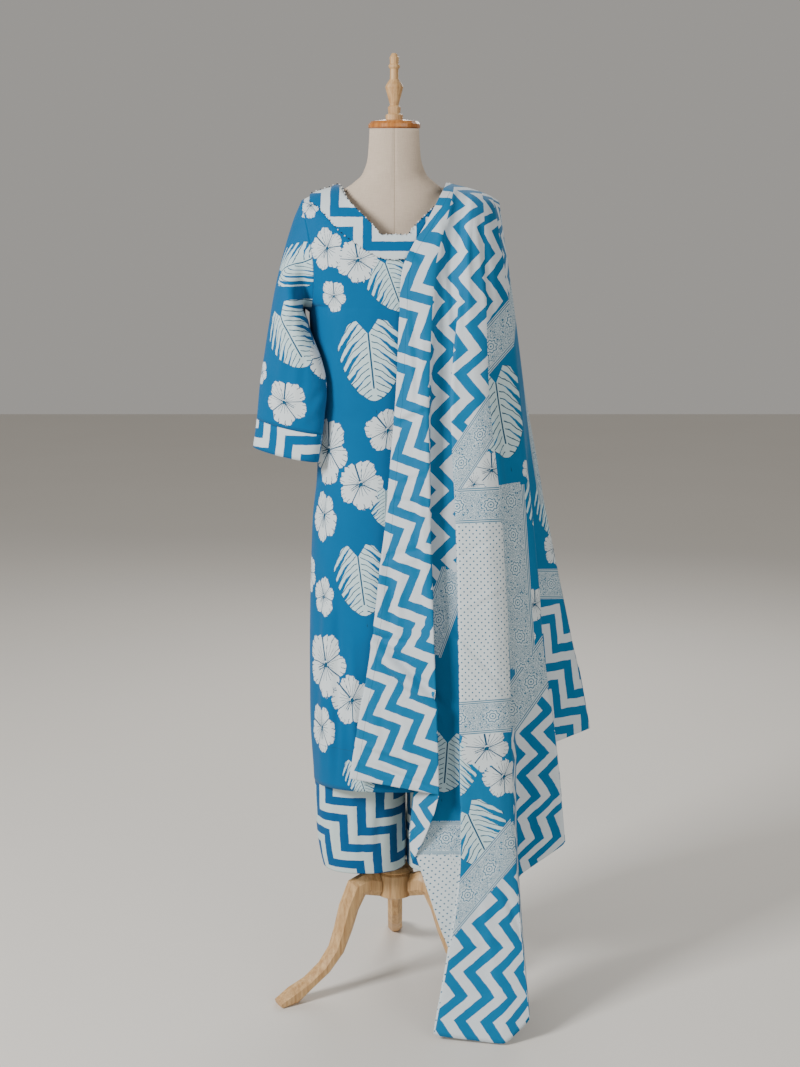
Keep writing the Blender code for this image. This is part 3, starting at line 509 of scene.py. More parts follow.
# %% [markdown]
# ## Placing the print
# A printed motif stays whole on the cloth, whatever the folds do.  So each motif gets a place in
# cloth coordinates: the point of the sheet that the photo shows there.  Each face of the mesh
# then keeps the coordinates of its nearest flower, leaf and band.


# %% Placing the print
FAR = 9.0             # a coordinate off every motif and band
MOTIF_REACH = 1.4     # faces up to this many radii from a motif can show it
BAND_REACH = 1.08     # and up to this many half widths from a band


def place_motifs(table, spots, coords, facing):
    """Print places from the photo: each row is x, y, radius in pixels, and the tip's turn in degrees"""
    placed = []
    for x, y, radius, turn in table:
        far = np.linalg.norm(spots - (x, y), axis=-1) + np.where(facing, 0, 1e6)
        i, j = np.unravel_index(np.argmin(far), far.shape)
        before, after = max(j - 1, 0), min(j + 1, spots.shape[1] - 1)
        # past the sheet's edge, go on at the slope of the last points, within reason
        seen = spots[i, after, 0] - spots[i, before, 0]
        slope = (coords[i, after, 0] - coords[i, before, 0]) / (seen if abs(seen) > 0.05 else 1e9)
        u = coords[i, j, 0] + (x - spots[i, j, 0]) * np.clip(slope, -1.5 * PIXEL, 1.5 * PIXEL)
        v = coords[i, j, 1] - (y - spots[i, j, 1]) * PIXEL
        placed.append((u, v, radius * PIXEL, math.radians(turn)))
    return placed


def motif_map(corners, placed):
    """Each face takes the coordinates of its nearest motif, in that motif's radii"""
    mapped = np.full(corners.shape, FAR)
    if not placed:
        return mapped
    table = np.array(placed)
    middle = corners.mean(1)
    away = np.linalg.norm(middle[:, None, :] - table[None, :, :2], axis=-1) / table[None, :, 2]
    best = away.argmin(1)
    near = away.min(1) < MOTIF_REACH
    local = (corners - table[best][:, None, :2]) / table[best][:, None, 2:3]
    c, s = np.cos(table[best][:, 3])[:, None], np.sin(table[best][:, 3])[:, None]
    x, y = local[..., 0], local[..., 1]
    turned = np.stack([-(c * x + s * y), s * x - c * y], -1)
    mapped[near] = turned[near]
    return mapped


def band_map(corners, bands):
    """Coordinates along and across the nearest scroll band (its half width is 1)"""
    mapped = np.full(corners.shape, FAR)
    middle = corners.mean(1)
    best = np.full(len(corners), BAND_REACH)
    for x0, y0, x1, y1, half in bands:
        start, run = np.array([x0, y0], float), np.array([x1 - x0, y1 - y0], float)
        size = np.linalg.norm(run)
        run = run / size
        across = np.array([-run[1], run[0]])
        along = (middle - start) @ run
        off = np.abs((middle - start) @ across) / half
        mine = (off < best) & (along > 0) & (along < size)
        local = np.stack([(corners - start) @ run * PIXEL, (corners - start) @ across / half], -1)
        mapped[mine] = local[mine]
        best[mine] = off[mine]
    return mapped


print("a motif reaches %.1f radii, a band %.2f half widths" % (MOTIF_REACH, BAND_REACH))

# %% [markdown]
# ## Making a sheet
# Cloth is one layer of threads, about a millimetre thick with its nap and turnings.  The mesh is
# the outer face, and a solidify modifier gives it the thickness, so an edge seen from the side
# looks like cloth and not like paper.


# %% Making a sheet
MAPS = ("cloth", "chevron", "flower", "leaf", "band")
CLOTH_THICK = 0.0011     # metres


def make_cloth(name, grid, material, prints, closed=False, outward=-1, thick=CLOTH_THICK):
    """A mesh sheet with its print; outward is 1 where the grid's own normals point out.

    Each print: the faces it covers (None for all), the cloth coordinates and the zigzag
    coordinates of every point, ground, flowers, leaves, bands (in the photo's pixels) and, if they
    differ from the points' own pixels, the places that the bands are measured at.
    Where the grid closes round a tube, coordinates have one more column than the grid.
    """
    rows, columns = grid.shape[:2]
    spans = columns if closed else columns - 1
    i, j = np.meshgrid(np.arange(rows - 1), np.arange(spans), indexing="ij")
    i, j = i.ravel(), j.ravel()
    corner_i = np.stack([i, i, i + 1, i + 1], 1)
    corner_j = np.stack([j, j + 1, j + 1, j], 1)
    if outward < 0:
        corner_i, corner_j = corner_i[:, ::-1], corner_j[:, ::-1]
    mesh = bpy.data.meshes.new(name)
    faces = corner_i * columns + corner_j % columns
    mesh.from_pydata((grid + SHIFT).reshape(-1, 3).tolist(), [], faces.tolist())
    spots = pixels(np.concatenate([grid, grid[:, :1]], 1) if closed else grid)
    maps = {key: np.full((len(faces), 4, 2), FAR) for key in MAPS}
    kinds = np.zeros(len(faces))
    for where, coords, chevron, ground, flowers, leaves, bands, *band_spots in prints:
        here = np.ones(len(faces), bool) if where is None else where[i, j]
        ci, cj = corner_i[here], corner_j[here]
        pair = coords[ci, cj]
        maps["cloth"][here] = pair
        maps["chevron"][here] = chevron[ci, cj]
        maps["flower"][here] = motif_map(pair, flowers)
        maps["leaf"][here] = motif_map(pair, leaves)
        maps["band"][here] = band_map((band_spots or [spots])[0][ci, cj], bands)
        kinds[here] = ground if np.isscalar(ground) else ground[i[here], j[here]]
    for key, values in maps.items():
        layer = mesh.uv_layers.new(name=key)
        layer.data.foreach_set("uv", values.astype(np.float32).ravel())
    mesh.attributes.new("ground", "FLOAT", "FACE").data.foreach_set("value", kinds.astype(np.float32))
    mesh.shade_smooth()
    mesh.materials.append(material)
    thing = bpy.data.objects.new(name, mesh)
    bpy.context.scene.collection.objects.link(thing)
    wall = thing.modifiers.new("thickness", "SOLIDIFY")
    wall.thickness = thick
    wall.offset = -1.0
    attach(thing, "root")
    return thing


def area_of(grid, closed=False):
    """Area of a sheet in square metres"""
    ring = np.concatenate([grid, grid[:, :1]], 1) if closed else grid
    a, b, c, d = ring[:-1, :-1], ring[1:, :-1], ring[:-1, 1:], ring[1:, 1:]
    return float((np.linalg.norm(np.cross(b - a, c - a), axis=-1) / 2
                  + np.linalg.norm(np.cross(b - d, c - d), axis=-1) / 2).sum())


print("each sheet carries", len(MAPS), "maps")

# %% [markdown]
# ## Kameez
# The tunic is two panels of cambric, sewn at the shoulders and down the sides to the slits.  It
# could be one tube, but two panels leave the slits and the hem free, as on the real one.  Its
# table has level sections: wide at the bust, narrower at the waist, wide again at the hip.  Two
# small functions read a size between two rows of such a table.


# %% Sizes between rows
def smooth(points, at):
    """Height of a smooth curve through (place, value) points, in rising place"""
    last = len(points) - 1
    at = min(max(at, points[0][0]), points[last][0])
    i = max(k for k in range(last) if points[k][0] <= at)

    def slope(k):
        a, b = points[max(k - 1, 0)], points[min(k + 1, last)]
        return (b[1] - a[1]) / (b[0] - a[0])

    (x0, v0), (x1, v1) = points[i], points[i + 1]
    step = x1 - x0
    t = (at - x0) / step
    return ((2 * t**3 - 3 * t**2 + 1) * v0 + (t**3 - 2 * t**2 + t) * step * slope(i)
            + (3 * t**2 - 2 * t**3) * v1 + (t**3 - t**2) * step * slope(i + 1))


def section(rows, z):
    """The columns of a table of sections at height z"""
    rising = sorted(rows)
    return [smooth([(row[0], row[column]) for row in rising], z) for column in range(1, len(rows[0]))]


print("halfway between 0 and 1:", smooth(((0, 0), (1, 1)), 0.5))

# %% Kameez sizes
# Cloth
WALL = 0.0016          # kameez and trouser cloth, with its turnings
SEAM = 0.0003          # gap between two pieces at a seam
ARMHOLE_GAP = 0.0009   # gap round the armholes, where the walls meet at an angle
ROUND = 2.3            # roundness of the body sections: 2 is an ellipse
# Kameez outline
NECK_X = 0.100         # where the neckline meets the shoulder seam
NECK_DROP_Z = 1.475    # lowest point of the front neckline
NECK_FLAT = 0.024      # half of the flat bottom of that neckline
BACK_NECK_Z = 1.538    # lowest point of the back neckline
SHOULDER_X = 0.172     # end of the shoulder seam, at the sleeve
UNDERARM_Z = 1.33
SHOULDER_ROUND = 0.085  # height over which the panels curve over the shoulder
HEM_Z = 0.426
HEM_LIFT = 0.012       # the hem rises this much at the middle of the front
SLIT_TOP_Z = 0.74
SLIT_ANGLE = math.radians(4.0)  # how far each panel's edge stands back at the hem
# height, half width, depth of the front, depth of the back
KAMEEZ_ROWS = (
    (1.580, 0.215, 0.085, 0.085),
    (1.500, 0.212, 0.105, 0.095),
    (1.420, 0.197, 0.118, 0.102),
    (1.370, 0.176, 0.122, 0.106),
    (1.330, 0.159, 0.124, 0.108),
    (1.270, 0.157, 0.126, 0.110),
    (1.180, 0.149, 0.120, 0.110),
    (1.060, 0.146, 0.116, 0.112),
    (0.940, 0.156, 0.124, 0.124),
    (0.780, 0.163, 0.134, 0.134),
    (0.620, 0.165, 0.138, 0.138),
    (0.460, 0.163, 0.141, 0.141),
    (0.420, 0.158, 0.140, 0.140),
)
# distance from the middle, height of the shoulder seam
SHOULDER_LINE = (
    (0.000, 1.580),
    (0.080, 1.567),
    (0.100, 1.561),
    (0.140, 1.550),
    (0.172, 1.536),
    (0.215, 1.508),
)
# height, half width: the armhole as seen from the front
ARMHOLE = (
    (UNDERARM_Z, 0.159),
    (1.348, 0.151),
    (1.385, 0.147),
    (1.430, 0.148),
    (1.478, 0.156),
    (1.514, 0.165),
    (1.536, SHOULDER_X),
)
# how far down the rows above the underarm lie, from the upper edge (0) to the underarm (1)
UPPER_ROWS = (0.0, 0.035, 0.136, 0.286, 0.5, 0.72, 0.9, 1.0)
LOWER_ROWS = 9         # rows from the underarm to the hem
SETTLED_Z = 1.20       # from here down, columns keep their share of the width
SHOULDER_COLUMNS = 4
NECK_COLUMNS = 5       # from the shoulder seam to the middle of the neckline
# half width, height: lower edge of the band round the neckline
NECK_BAND_EDGE = (
    (0.000, 1.430),
    (0.032, 1.436),
    (0.094, 1.477),
    (0.128, 1.512),
    (0.152, 1.534),
)
NECK_BAND_ROWS = (0.0, 0.07, 0.22, 0.45, 0.72, 1.0)
BAND_LIFT = 0.0022     # the band's inner side lies this far off the panel
BAND_PAST = 0.003      # its ends may pass the last point of its edge by this
BAND_LEAST = 0.014     # it is nowhere narrower than this
SLOPE_STEP = 0.001     # the panel's slope is measured over this
print("kameez tables:", len(KAMEEZ_ROWS), "sections")

# %% [markdown]
# A panel's points go down in columns from its upper edge.  At each height they lie on a rounded
# section, and over the shoulder the depth runs out to nothing, so that front and back meet
# there in a seam.


# %% Kameez form
def body_y(x, z, front):
    """Depth of a kameez panel at x and height z, positive for both panels"""
    half_width, front_depth, back_depth = section(KAMEEZ_ROWS, z)
    depth = front_depth if front else back_depth
    across = max(1 - min(abs(x) / half_width, 1) ** ROUND, 0) ** (1 / ROUND)
    above = (z - smooth(SHOULDER_LINE, abs(x)) + SHOULDER_ROUND) / SHOULDER_ROUND
    over = math.sqrt(max(1 - max(above, 0) ** 2, 0))
    return depth * across * over


def neckline(fraction, front):
    """Half width and height of the neckline, from the shoulder (0) to the middle (1)"""
    low = NECK_DROP_Z if front else BACK_NECK_Z
    top = smooth(SHOULDER_LINE, NECK_X)
    flat = NECK_FLAT if front else NECK_FLAT * 2
    if fraction >= 0.8:
        return flat * (1 - fraction) / 0.2, low
    turn = math.sin(fraction / 0.8 * math.pi / 2)
    return flat + (NECK_X - flat) * (1 - turn**1.5), low + (top - low) * (1 - turn) ** 0.8


def upper_edge(front):
    """A panel's upper edge: the shoulder seam, the neckline and the other shoulder seam"""
    half = []
    for k in range(SHOULDER_COLUMNS):
        x = SHOULDER_X + (NECK_X - SHOULDER_X) * k / SHOULDER_COLUMNS
        half.append((x, smooth(SHOULDER_LINE, x)))
    half += [neckline(k / NECK_COLUMNS, front) for k in range(NECK_COLUMNS + 1)]
    return [(-x, z) for x, z in half] + half[-2::-1]


def side_angle(z):
    """Angle of a panel's side edge: the armhole, then the side seam, then the slit"""
    if z > UNDERARM_Z:
        return math.asin(smooth(ARMHOLE, z) / section(KAMEEZ_ROWS, z)[0])
    return math.pi / 2 - SLIT_ANGLE * max(SLIT_TOP_Z - z, 0) / (SLIT_TOP_Z - HEM_Z)


def panel_grid(front):
    """Points of a kameez panel, by rows from the upper edge to the hem"""
    tops = upper_edge(front)
    last = len(tops) - 1
    side = -1 if front else 1
    columns = []
    for j, (x_top, z_top) in enumerate(tops):
        share_below = 2 * j / last - 1
        half_width = section(KAMEEZ_ROWS, z_top)[0]
        share_top = math.asin(x_top / half_width) / side_angle(z_top)
        z_hem = HEM_Z + (HEM_LIFT * math.cos(share_below * math.pi / 2) if front else 0)
        heights = [z_top + (UNDERARM_Z - z_top) * down for down in UPPER_ROWS]
        heights += [UNDERARM_Z + (z_hem - UNDERARM_Z) * k / LOWER_ROWS for k in range(1, LOWER_ROWS + 1)]
        column = []
        for z in heights:
            settled = min((z_top - z) / (z_top - SETTLED_Z), 1)
            settled = settled * settled * (3 - 2 * settled)
            angle = side_angle(z) * (share_top + (share_below - share_top) * settled)
            x = section(KAMEEZ_ROWS, z)[0] * math.sin(angle)
            column.append(Vector((x, side * (SEAM / 2 + body_y(x, z, front)), z)))
        columns.append(column)
    return [[column[i] for column in columns] for i in range(len(columns[0]))]


def neck_band_grid():
    """The outer side of the band round the front neckline"""
    edge = sorted(NECK_BAND_EDGE)
    tops = [top for top in upper_edge(True) if abs(top[0]) < edge[-1][0] + BAND_PAST]
    rows = []
    for down in NECK_BAND_ROWS:
        row = []
        for x, z_top in tops:
            z = z_top - max(z_top - smooth(edge, abs(x)), BAND_LEAST) * down
            y = -body_y(x, z, True)
            slope_x = (-body_y(x + SLOPE_STEP, z, True) - y) / SLOPE_STEP
            slope_z = (y + body_y(x, z - SLOPE_STEP, True)) / SLOPE_STEP
            out = Vector((slope_x, -1, slope_z)).normalized() * (BAND_LIFT + WALL)
            point = Vector((x, y, z)) + out
            row.append(Vector((point.x, min(point.y, -SEAM), point.z)))
        rows.append(row)
    return rows


front_coarse, back_coarse = panel_grid(True), panel_grid(False)
print("panels of", len(front_coarse), "by", len(front_coarse[0]), "points")

# %% [markdown]
# Now the panels are refined, creased and printed.  The long folds fall from the bust and the hip.
# The shoulders stay as they are, because the cloth lies tight there.

# %% Kameez panels
PANEL_DOWN, PANEL_ACROSS = 10, 7              # points between two of the coarse ones
TIGHT_ABOVE_Z, TIGHT_OVER = 1.50, 0.06        # no creases above this height; they fade in over this
KAMEEZ_FLOWERS = (
    # x, y, radius in the photo's pixels, turn in degrees
    (358, 260, 23, 10), (388, 430, 23, 40), (329, 450, 38, 0), (361, 484, 27, 20), (324, 515, 27, 65),
    (324, 596, 22, 30), (310, 570, 22, 0), (326, 664, 37, 15), (352, 700, 28, 50), (322, 727, 27, 80),
    (311, 205, 14, 0), (327, 248, 22, 50), (334, 296, 17, 0),
)
KAMEEZ_LEAVES = (
    (392, 282, 30, 20), (371, 360, 41, 6), (386, 505, 22, 0), (361, 580, 37, 8), (360, 778, 22, 20),
)
KAMEEZ_CREASES = (
    # x0, y0, x1, y1 in the photo's pixels, half width in pixels, height in millimetres
    (327, 560, 322, 780, 7, 4.0), (338, 600, 336, 782, 6, -5.0), (352, 640, 356, 780, 8, 4.0),
    (318, 470, 330, 560, 8, -1.5), (330, 330, 345, 395, 7, -1.5), (345, 300, 335, 420, 9, 1.5),
    (314, 735, 372, 739, 3, -0.8), (460, 520, 468, 780, 9, -3.0), (480, 560, 476, 778, 8, 2.5),
    (400, 540, 404, 780, 9, 2.5), (420, 600, 424, 780, 8, -2.5), (335, 410, 372, 430, 6, -1.0),
)


SIDE_SPREAD = 0.075    # near the side seam the cloth runs back: so much longer than its width, in metres


def body_coords(grid):
    """Distance round the body from the middle, and height"""
    half = np.interp(grid[..., 2], *np.array(sorted(KAMEEZ_ROWS)).T[:2])
    share = np.clip(np.abs(grid[..., 0]) / half, 0, 1)
    return np.stack([grid[..., 0] + np.sign(grid[..., 0]) * SIDE_SPREAD * share**5, grid[..., 2]], -1)


for name, coarse, outward in (("kameez_front", front_coarse, -1), ("kameez_back", back_coarse, 1)):
    grid = refine(coarse, PANEL_DOWN, PANEL_ACROSS)
    fade = np.clip((TIGHT_ABOVE_Z - grid[..., 2]) / TIGHT_OVER, 0, 1)[..., None]
    worn = ripple(crease(grid, KAMEEZ_CREASES, outward), amount=0.0012, size=0.075, seed=3)
    grid = grid + (worn - grid) * fade
    coords = body_coords(grid)
    spots = pixels(grid)
    facing = np.ones(grid.shape[:2], bool)
    chart = (None, coords, coords, 1.0, place_motifs(KAMEEZ_FLOWERS, spots, coords, facing),
             place_motifs(KAMEEZ_LEAVES, spots, coords, facing), ())
    sheet = make_cloth("tunic_" + name[7:], grid, kurta_cotton, [chart], outward=outward)
    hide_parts(name)
    print(sheet.name, "area %.3f m2" % area_of(grid))

# %% [markdown]
# ## Neck band and beads
# A band cut from the chevron print is sewn flat round the neckline.  It could be painted on the
# panel, but a sheet of its own, 2 mm off it, has the raised edge that catches the light.

# %% Neck band
NECK_STRIPE = 0.010                           # where the zigzag starts across the band, in metres
neck_grid = refine(neck_band_grid(), down=5, across=6)
along = np.cumsum(np.linalg.norm(np.diff(neck_grid[:1], axis=1, prepend=neck_grid[:1, :1]), axis=-1), 1)
along = np.repeat(along - along[:, -1:] / 2, len(neck_grid), 0)
down = np.cumsum(np.linalg.norm(np.diff(neck_grid, axis=0, prepend=neck_grid[:1]), axis=-1), 0)
band_pair = np.stack([along, -down], -1)
inward = -np.abs(neck_grid[..., 0])
zig = np.stack([inward + neck_grid[..., 2] + NECK_STRIPE, inward - neck_grid[..., 2]], -1) * math.sqrt(0.5)
neck_band = make_cloth("neckline_band", neck_grid, kurta_cotton, [(None, band_pair, zig, 0.0, (), (), ())])
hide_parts("neck_band")
print("neckline_band area %.4f m2" % area_of(neck_grid))

# %% [markdown]
# Small beads, dark and white in turn, trim both edges of the band.  Each is a ball, and all of
# them go into one mesh, because a mesh is quicker to handle than very many objects.

# %% Neckline beads
BEAD_R, BEAD_STEP = 0.0015, 0.0085           # metres: radius, and from bead to bead
UPPER_OFF, LOWER_OFF = 0.0008, 0.0010        # how far a bead's middle stands off the band
UPPER_NUDGE = (0, -0.0006, 0.0004)           # the upper row sits on the edge, forward and up
shape = bmesh.new()
bmesh.ops.create_icosphere(shape, subdivisions=1, radius=BEAD_R)
ball_points = np.array([tuple(v.co) for v in shape.verts])
ball_faces = np.array([[v.index for v in f.verts] for f in shape.faces])
shape.free()
out = normals(neck_grid) * -1
lines = [neck_grid[0] + out[0] * UPPER_OFF + UPPER_NUDGE, neck_grid[-1] + out[-1] * LOWER_OFF]
# Seed bead: a slice of drawn glass tube, tumbled hot, so it is smooth and shows a small highlight.
dark_bead, tree, shader = new_material("navy_glass_bead")
wire(tree, shader, Base_Color=linear("#12263A"), Roughness=0.2)
# Thread bead: a core wound with white cotton thread, duller than glass.
white_bead, tree, shader = new_material("white_thread_bead")
wire(tree, shader, Base_Color=linear("#DDE2E2"), Roughness=0.35)
all_points, all_faces, tints = [], [], []
for line in lines:
    run = np.concatenate([[0.0], np.cumsum(np.linalg.norm(np.diff(line, axis=0), axis=1))])
    for k, at in enumerate(np.arange(BEAD_STEP / 2, run[-1], BEAD_STEP)):
        middle = np.array([np.interp(at, run, line[:, axis]) for axis in range(3)])
        all_faces.append(ball_faces + len(all_points) * len(ball_points))
        all_points.append(ball_points + middle + SHIFT)
        tints += [k % 2] * len(ball_faces)
mesh = bpy.data.meshes.new("neckline_beads")
mesh.from_pydata(np.concatenate(all_points).tolist(), [], np.concatenate(all_faces).tolist())
mesh.shade_smooth()
mesh.materials.append(dark_bead)
mesh.materials.append(white_bead)
mesh.polygons.foreach_set("material_index", tints)
beads = bpy.data.objects.new("neckline_beads", mesh)
bpy.context.scene.collection.objects.link(beads)
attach(beads, "root")
print(len(all_points), "beads")

# %% [markdown]
# ## Sleeves and cuffs
# A set-in sleeve is one piece of cloth with a curved head, sewn into the armhole and closed along
# its inner edge.  It is built from rings: the first has the armhole's own shape, and the others
# fade into flat sections, as an empty sleeve hangs flat.  The scarf presses the other one in.

# %% Sleeve sizes
# Sleeve sections from the armhole to the cuff, on the viewer's left:
# outer edge x, y, z; inner edge x, y, z; half thickness; turn of the section
SLEEVE_ROWS = (
    (-0.172, 0.000, 1.536, -0.159, 0.000, 1.330, 0.080, 0),
    (-0.187, -0.001, 1.508, -0.170, -0.001, 1.331, 0.080, 0),
    (-0.199, -0.003, 1.466, -0.168, -0.018, 1.325, 0.077, 2),
    (-0.211, -0.006, 1.418, -0.158, -0.048, 1.316, 0.073, 6),
    (-0.222, -0.010, 1.366, -0.155, -0.058, 1.303, 0.067, 8),
    (-0.232, -0.014, 1.312, -0.144, -0.074, 1.281, 0.059, 10),
    (-0.241, -0.017, 1.258, -0.130, -0.088, 1.245, 0.050, 14),
    (-0.250, -0.020, 1.200, -0.124, -0.096, 1.196, 0.039, 22),
    (-0.257, -0.022, 1.135, -0.134, -0.088, 1.112, 0.031, 26),
    (-0.265, -0.022, 1.082, -0.142, -0.085, 1.060, 0.029, 26),
)
CUFF_FROM_ROW = 8      # the cuff band starts here
ARMHOLE_PUSH = (0.0, 0.007, 0.006, 0.003, 0.0)  # the first rings stand off the armhole by this
SLEEVE_CLEARANCE = 0.009  # between the sleeve and the kameez below the armhole
ARM_ABOVE = 0.12       # higher than this over the underarm, the sleeve is sewn to the tunic
COVERED_SLEEVE_IN = 0.028  # the dupatta presses the other sleeve in by this much,
COVERED_SLEEVE_BACK = 0.012  # back by this much
COVERED_SLEEVE_FLAT = 0.75   # and to this share of its thickness
print("sleeve tables:", len(SLEEVE_ROWS), "rings")


# %% Sleeve form
def clear_of_kameez(point, margin):
    """Move a sleeve's point out of the kameez's side, sideways only"""
    if point.z > UNDERARM_Z + ARM_ABOVE or margin <= 0:
        return point
    half_width, front_depth, back_depth = section(KAMEEZ_ROWS, min(point.z, UNDERARM_Z))
    depth = front_depth if point.y < 0 else back_depth
    inside = (abs(point.x / (half_width + margin)) ** ROUND
              + abs(point.y / (depth + margin)) ** ROUND) ** (1 / ROUND)
    if inside >= 1:
        return point
    return Vector((point.x / inside, point.y / inside, point.z))


def sleeve_rings(armhole, away, covered):
    """Rings of the left sleeve: the armhole's own shape fades into the sections.

    Shares of the sleeve's length, from 0 at the armhole to 1 at the cuff, say how fast.
    """
    half = len(armhole) // 2
    turns = [math.pi * k / half for k in range(2 * half)]
    rings = []
    first = None
    for number, (ox, oy, oz, ix, iy, iz, thick, yaw) in enumerate(SLEEVE_ROWS):
        down = number / (len(SLEEVE_ROWS) - 1)
        pressed = min(max(down - 0.1, 0) * 2, 1) if covered else 0
        shift = Vector((COVERED_SLEEVE_IN, COVERED_SLEEVE_BACK, 0)) * pressed
        outer, inner = Vector((ox, oy, oz)) + shift, Vector((ix, iy, iz))
        centre, reach = (outer + inner) / 2, (outer - inner) / 2
        thick *= 1 - (1 - COVERED_SLEEVE_FLAT) * pressed
        across = Vector((-math.sin(math.radians(yaw)), -math.cos(math.radians(yaw)), 0)) * thick
        ring = [centre - reach * math.cos(a) + across * math.sin(a) for a in turns]
        if first is None:
            first = ring
        fade = max(1 - down / 0.45, 0) ** 2
        margin = SLEEVE_CLEARANCE * min(down / 0.2, 1)
        push = ARMHOLE_PUSH[min(number, len(ARMHOLE_PUSH) - 1)]
        ring = [clear_of_kameez(p + (a - f) * fade + off * push, margin)
                for p, a, f, off in zip(ring, armhole, first, away)]
        rings.append(ring)
    return rings


def armhole_ring():
    """The first ring of a sleeve and the way it leaves the panels"""
    panels_points = [front_coarse, back_coarse]
    underarm = len(UPPER_ROWS) - 1
    order = [(0, i) for i in range(underarm, -1, -1)] + [(1, i) for i in range(1, underarm)]
    outer = [panels_points[k][i][0] for k, i in order]
    beside = [(panels_points[k][i][1] + panels_points[k][i + 1][1]) / 2 for k, i in order]
    away = []
    for j, point in enumerate(outer):
        tangent = outer[(j + 1) % len(outer)] - outer[j - 1]
        off = tangent.cross(Vector((-1, 0, 0))).normalized()
        away.append(-off if off.dot(point - beside[j]) < 0 else off)
    return [p + d * ARMHOLE_GAP for p, d in zip(outer, away)], away


ring_points, ring_away = armhole_ring()
print("armhole of", len(ring_points), "points")

# %% [markdown]
# A tube's print needs coordinates round it.  On a sleeve they start at the outer edge, where the
# photo shows the motifs whole, and the join is hidden at the inner edge.  A trouser leg is
# rounder, so there they are the angle round its own axis.

# %% Sleeve prints
# as for the kameez: x, y, radius, turn; and for creases: x0, y0, x1, y1, half width, height
SLEEVE_FLOWERS = (
    (311, 205, 14, 0), (327, 248, 22, 50), (323, 356, 24, 35), (335, 382, 16, 60),
    (284, 402, 25, 10), (262, 372, 13, 0),
)
SLEEVE_LEAVES = ((303, 262, 26, -125), (290, 336, 35, -32))
SLEEVE_CREASES = (
    (313, 262, 336, 330, 5, -5.0), (322, 300, 330, 345, 5, 3.0), (309, 404, 324, 390, 5, -3.0),
    (300, 420, 322, 408, 5, 2.0), (298, 300, 284, 350, 7, -2.0), (288, 330, 276, 400, 7, 2.0),
    (306, 340, 300, 420, 7, -1.6), (296, 230, 290, 280, 6, -1.5),
    (480, 420, 465, 400, 5, -2.0), (470, 330, 466, 380, 6, 1.5),
)


def tube_coords(grid, radius):
    """Distance round a hanging tube's own axis, and height; one more column than the grid"""
    ring = np.concatenate([grid, grid[:, :1]], 1)
    middle = grid.mean(1)
    order = np.argsort(middle[:, 2])
    z = middle[order, 2]
    cx, cy = (np.interp(ring[..., 2], z, middle[order, k]) for k in (0, 1))
    half = (grid.max(1) - grid.min(1))[order] / 2
    a, b = (np.interp(ring[..., 2], z, half[:, k]) for k in (0, 1))
    turn = np.unwrap(np.arctan2((ring[..., 1] - cy) / b, (ring[..., 0] - cx) / a), axis=1)
    turn -= np.round((turn[:, :1] - turn[:1, :1]) / math.tau) * math.tau
    return np.stack([turn * radius, ring[..., 2]], -1)


def opened_coords(grid):
    """Distance round a sleeve from its outer edge, and height; the seam is at the inner edge"""
    ring = np.concatenate([grid, grid[:, :1]], 1)
    steps = np.linalg.norm(np.diff(ring[..., :2], axis=1, prepend=ring[:, :1, :2]), axis=-1)
    around = np.cumsum(steps, 1)
    middle = grid.shape[1] // 2
    return np.stack([around - around[:, middle:middle + 1], ring[..., 2]], -1)


print(len(SLEEVE_FLOWERS), "flowers and", len(SLEEVE_CREASES), "creases on a sleeve")

# %% [markdown]
# Both sleeves come out of one loop, and the right one is the left one mirrored.  A cuff is the
# lower end of the same tube, cut off below the sleeve as a band of its own with chevrons.

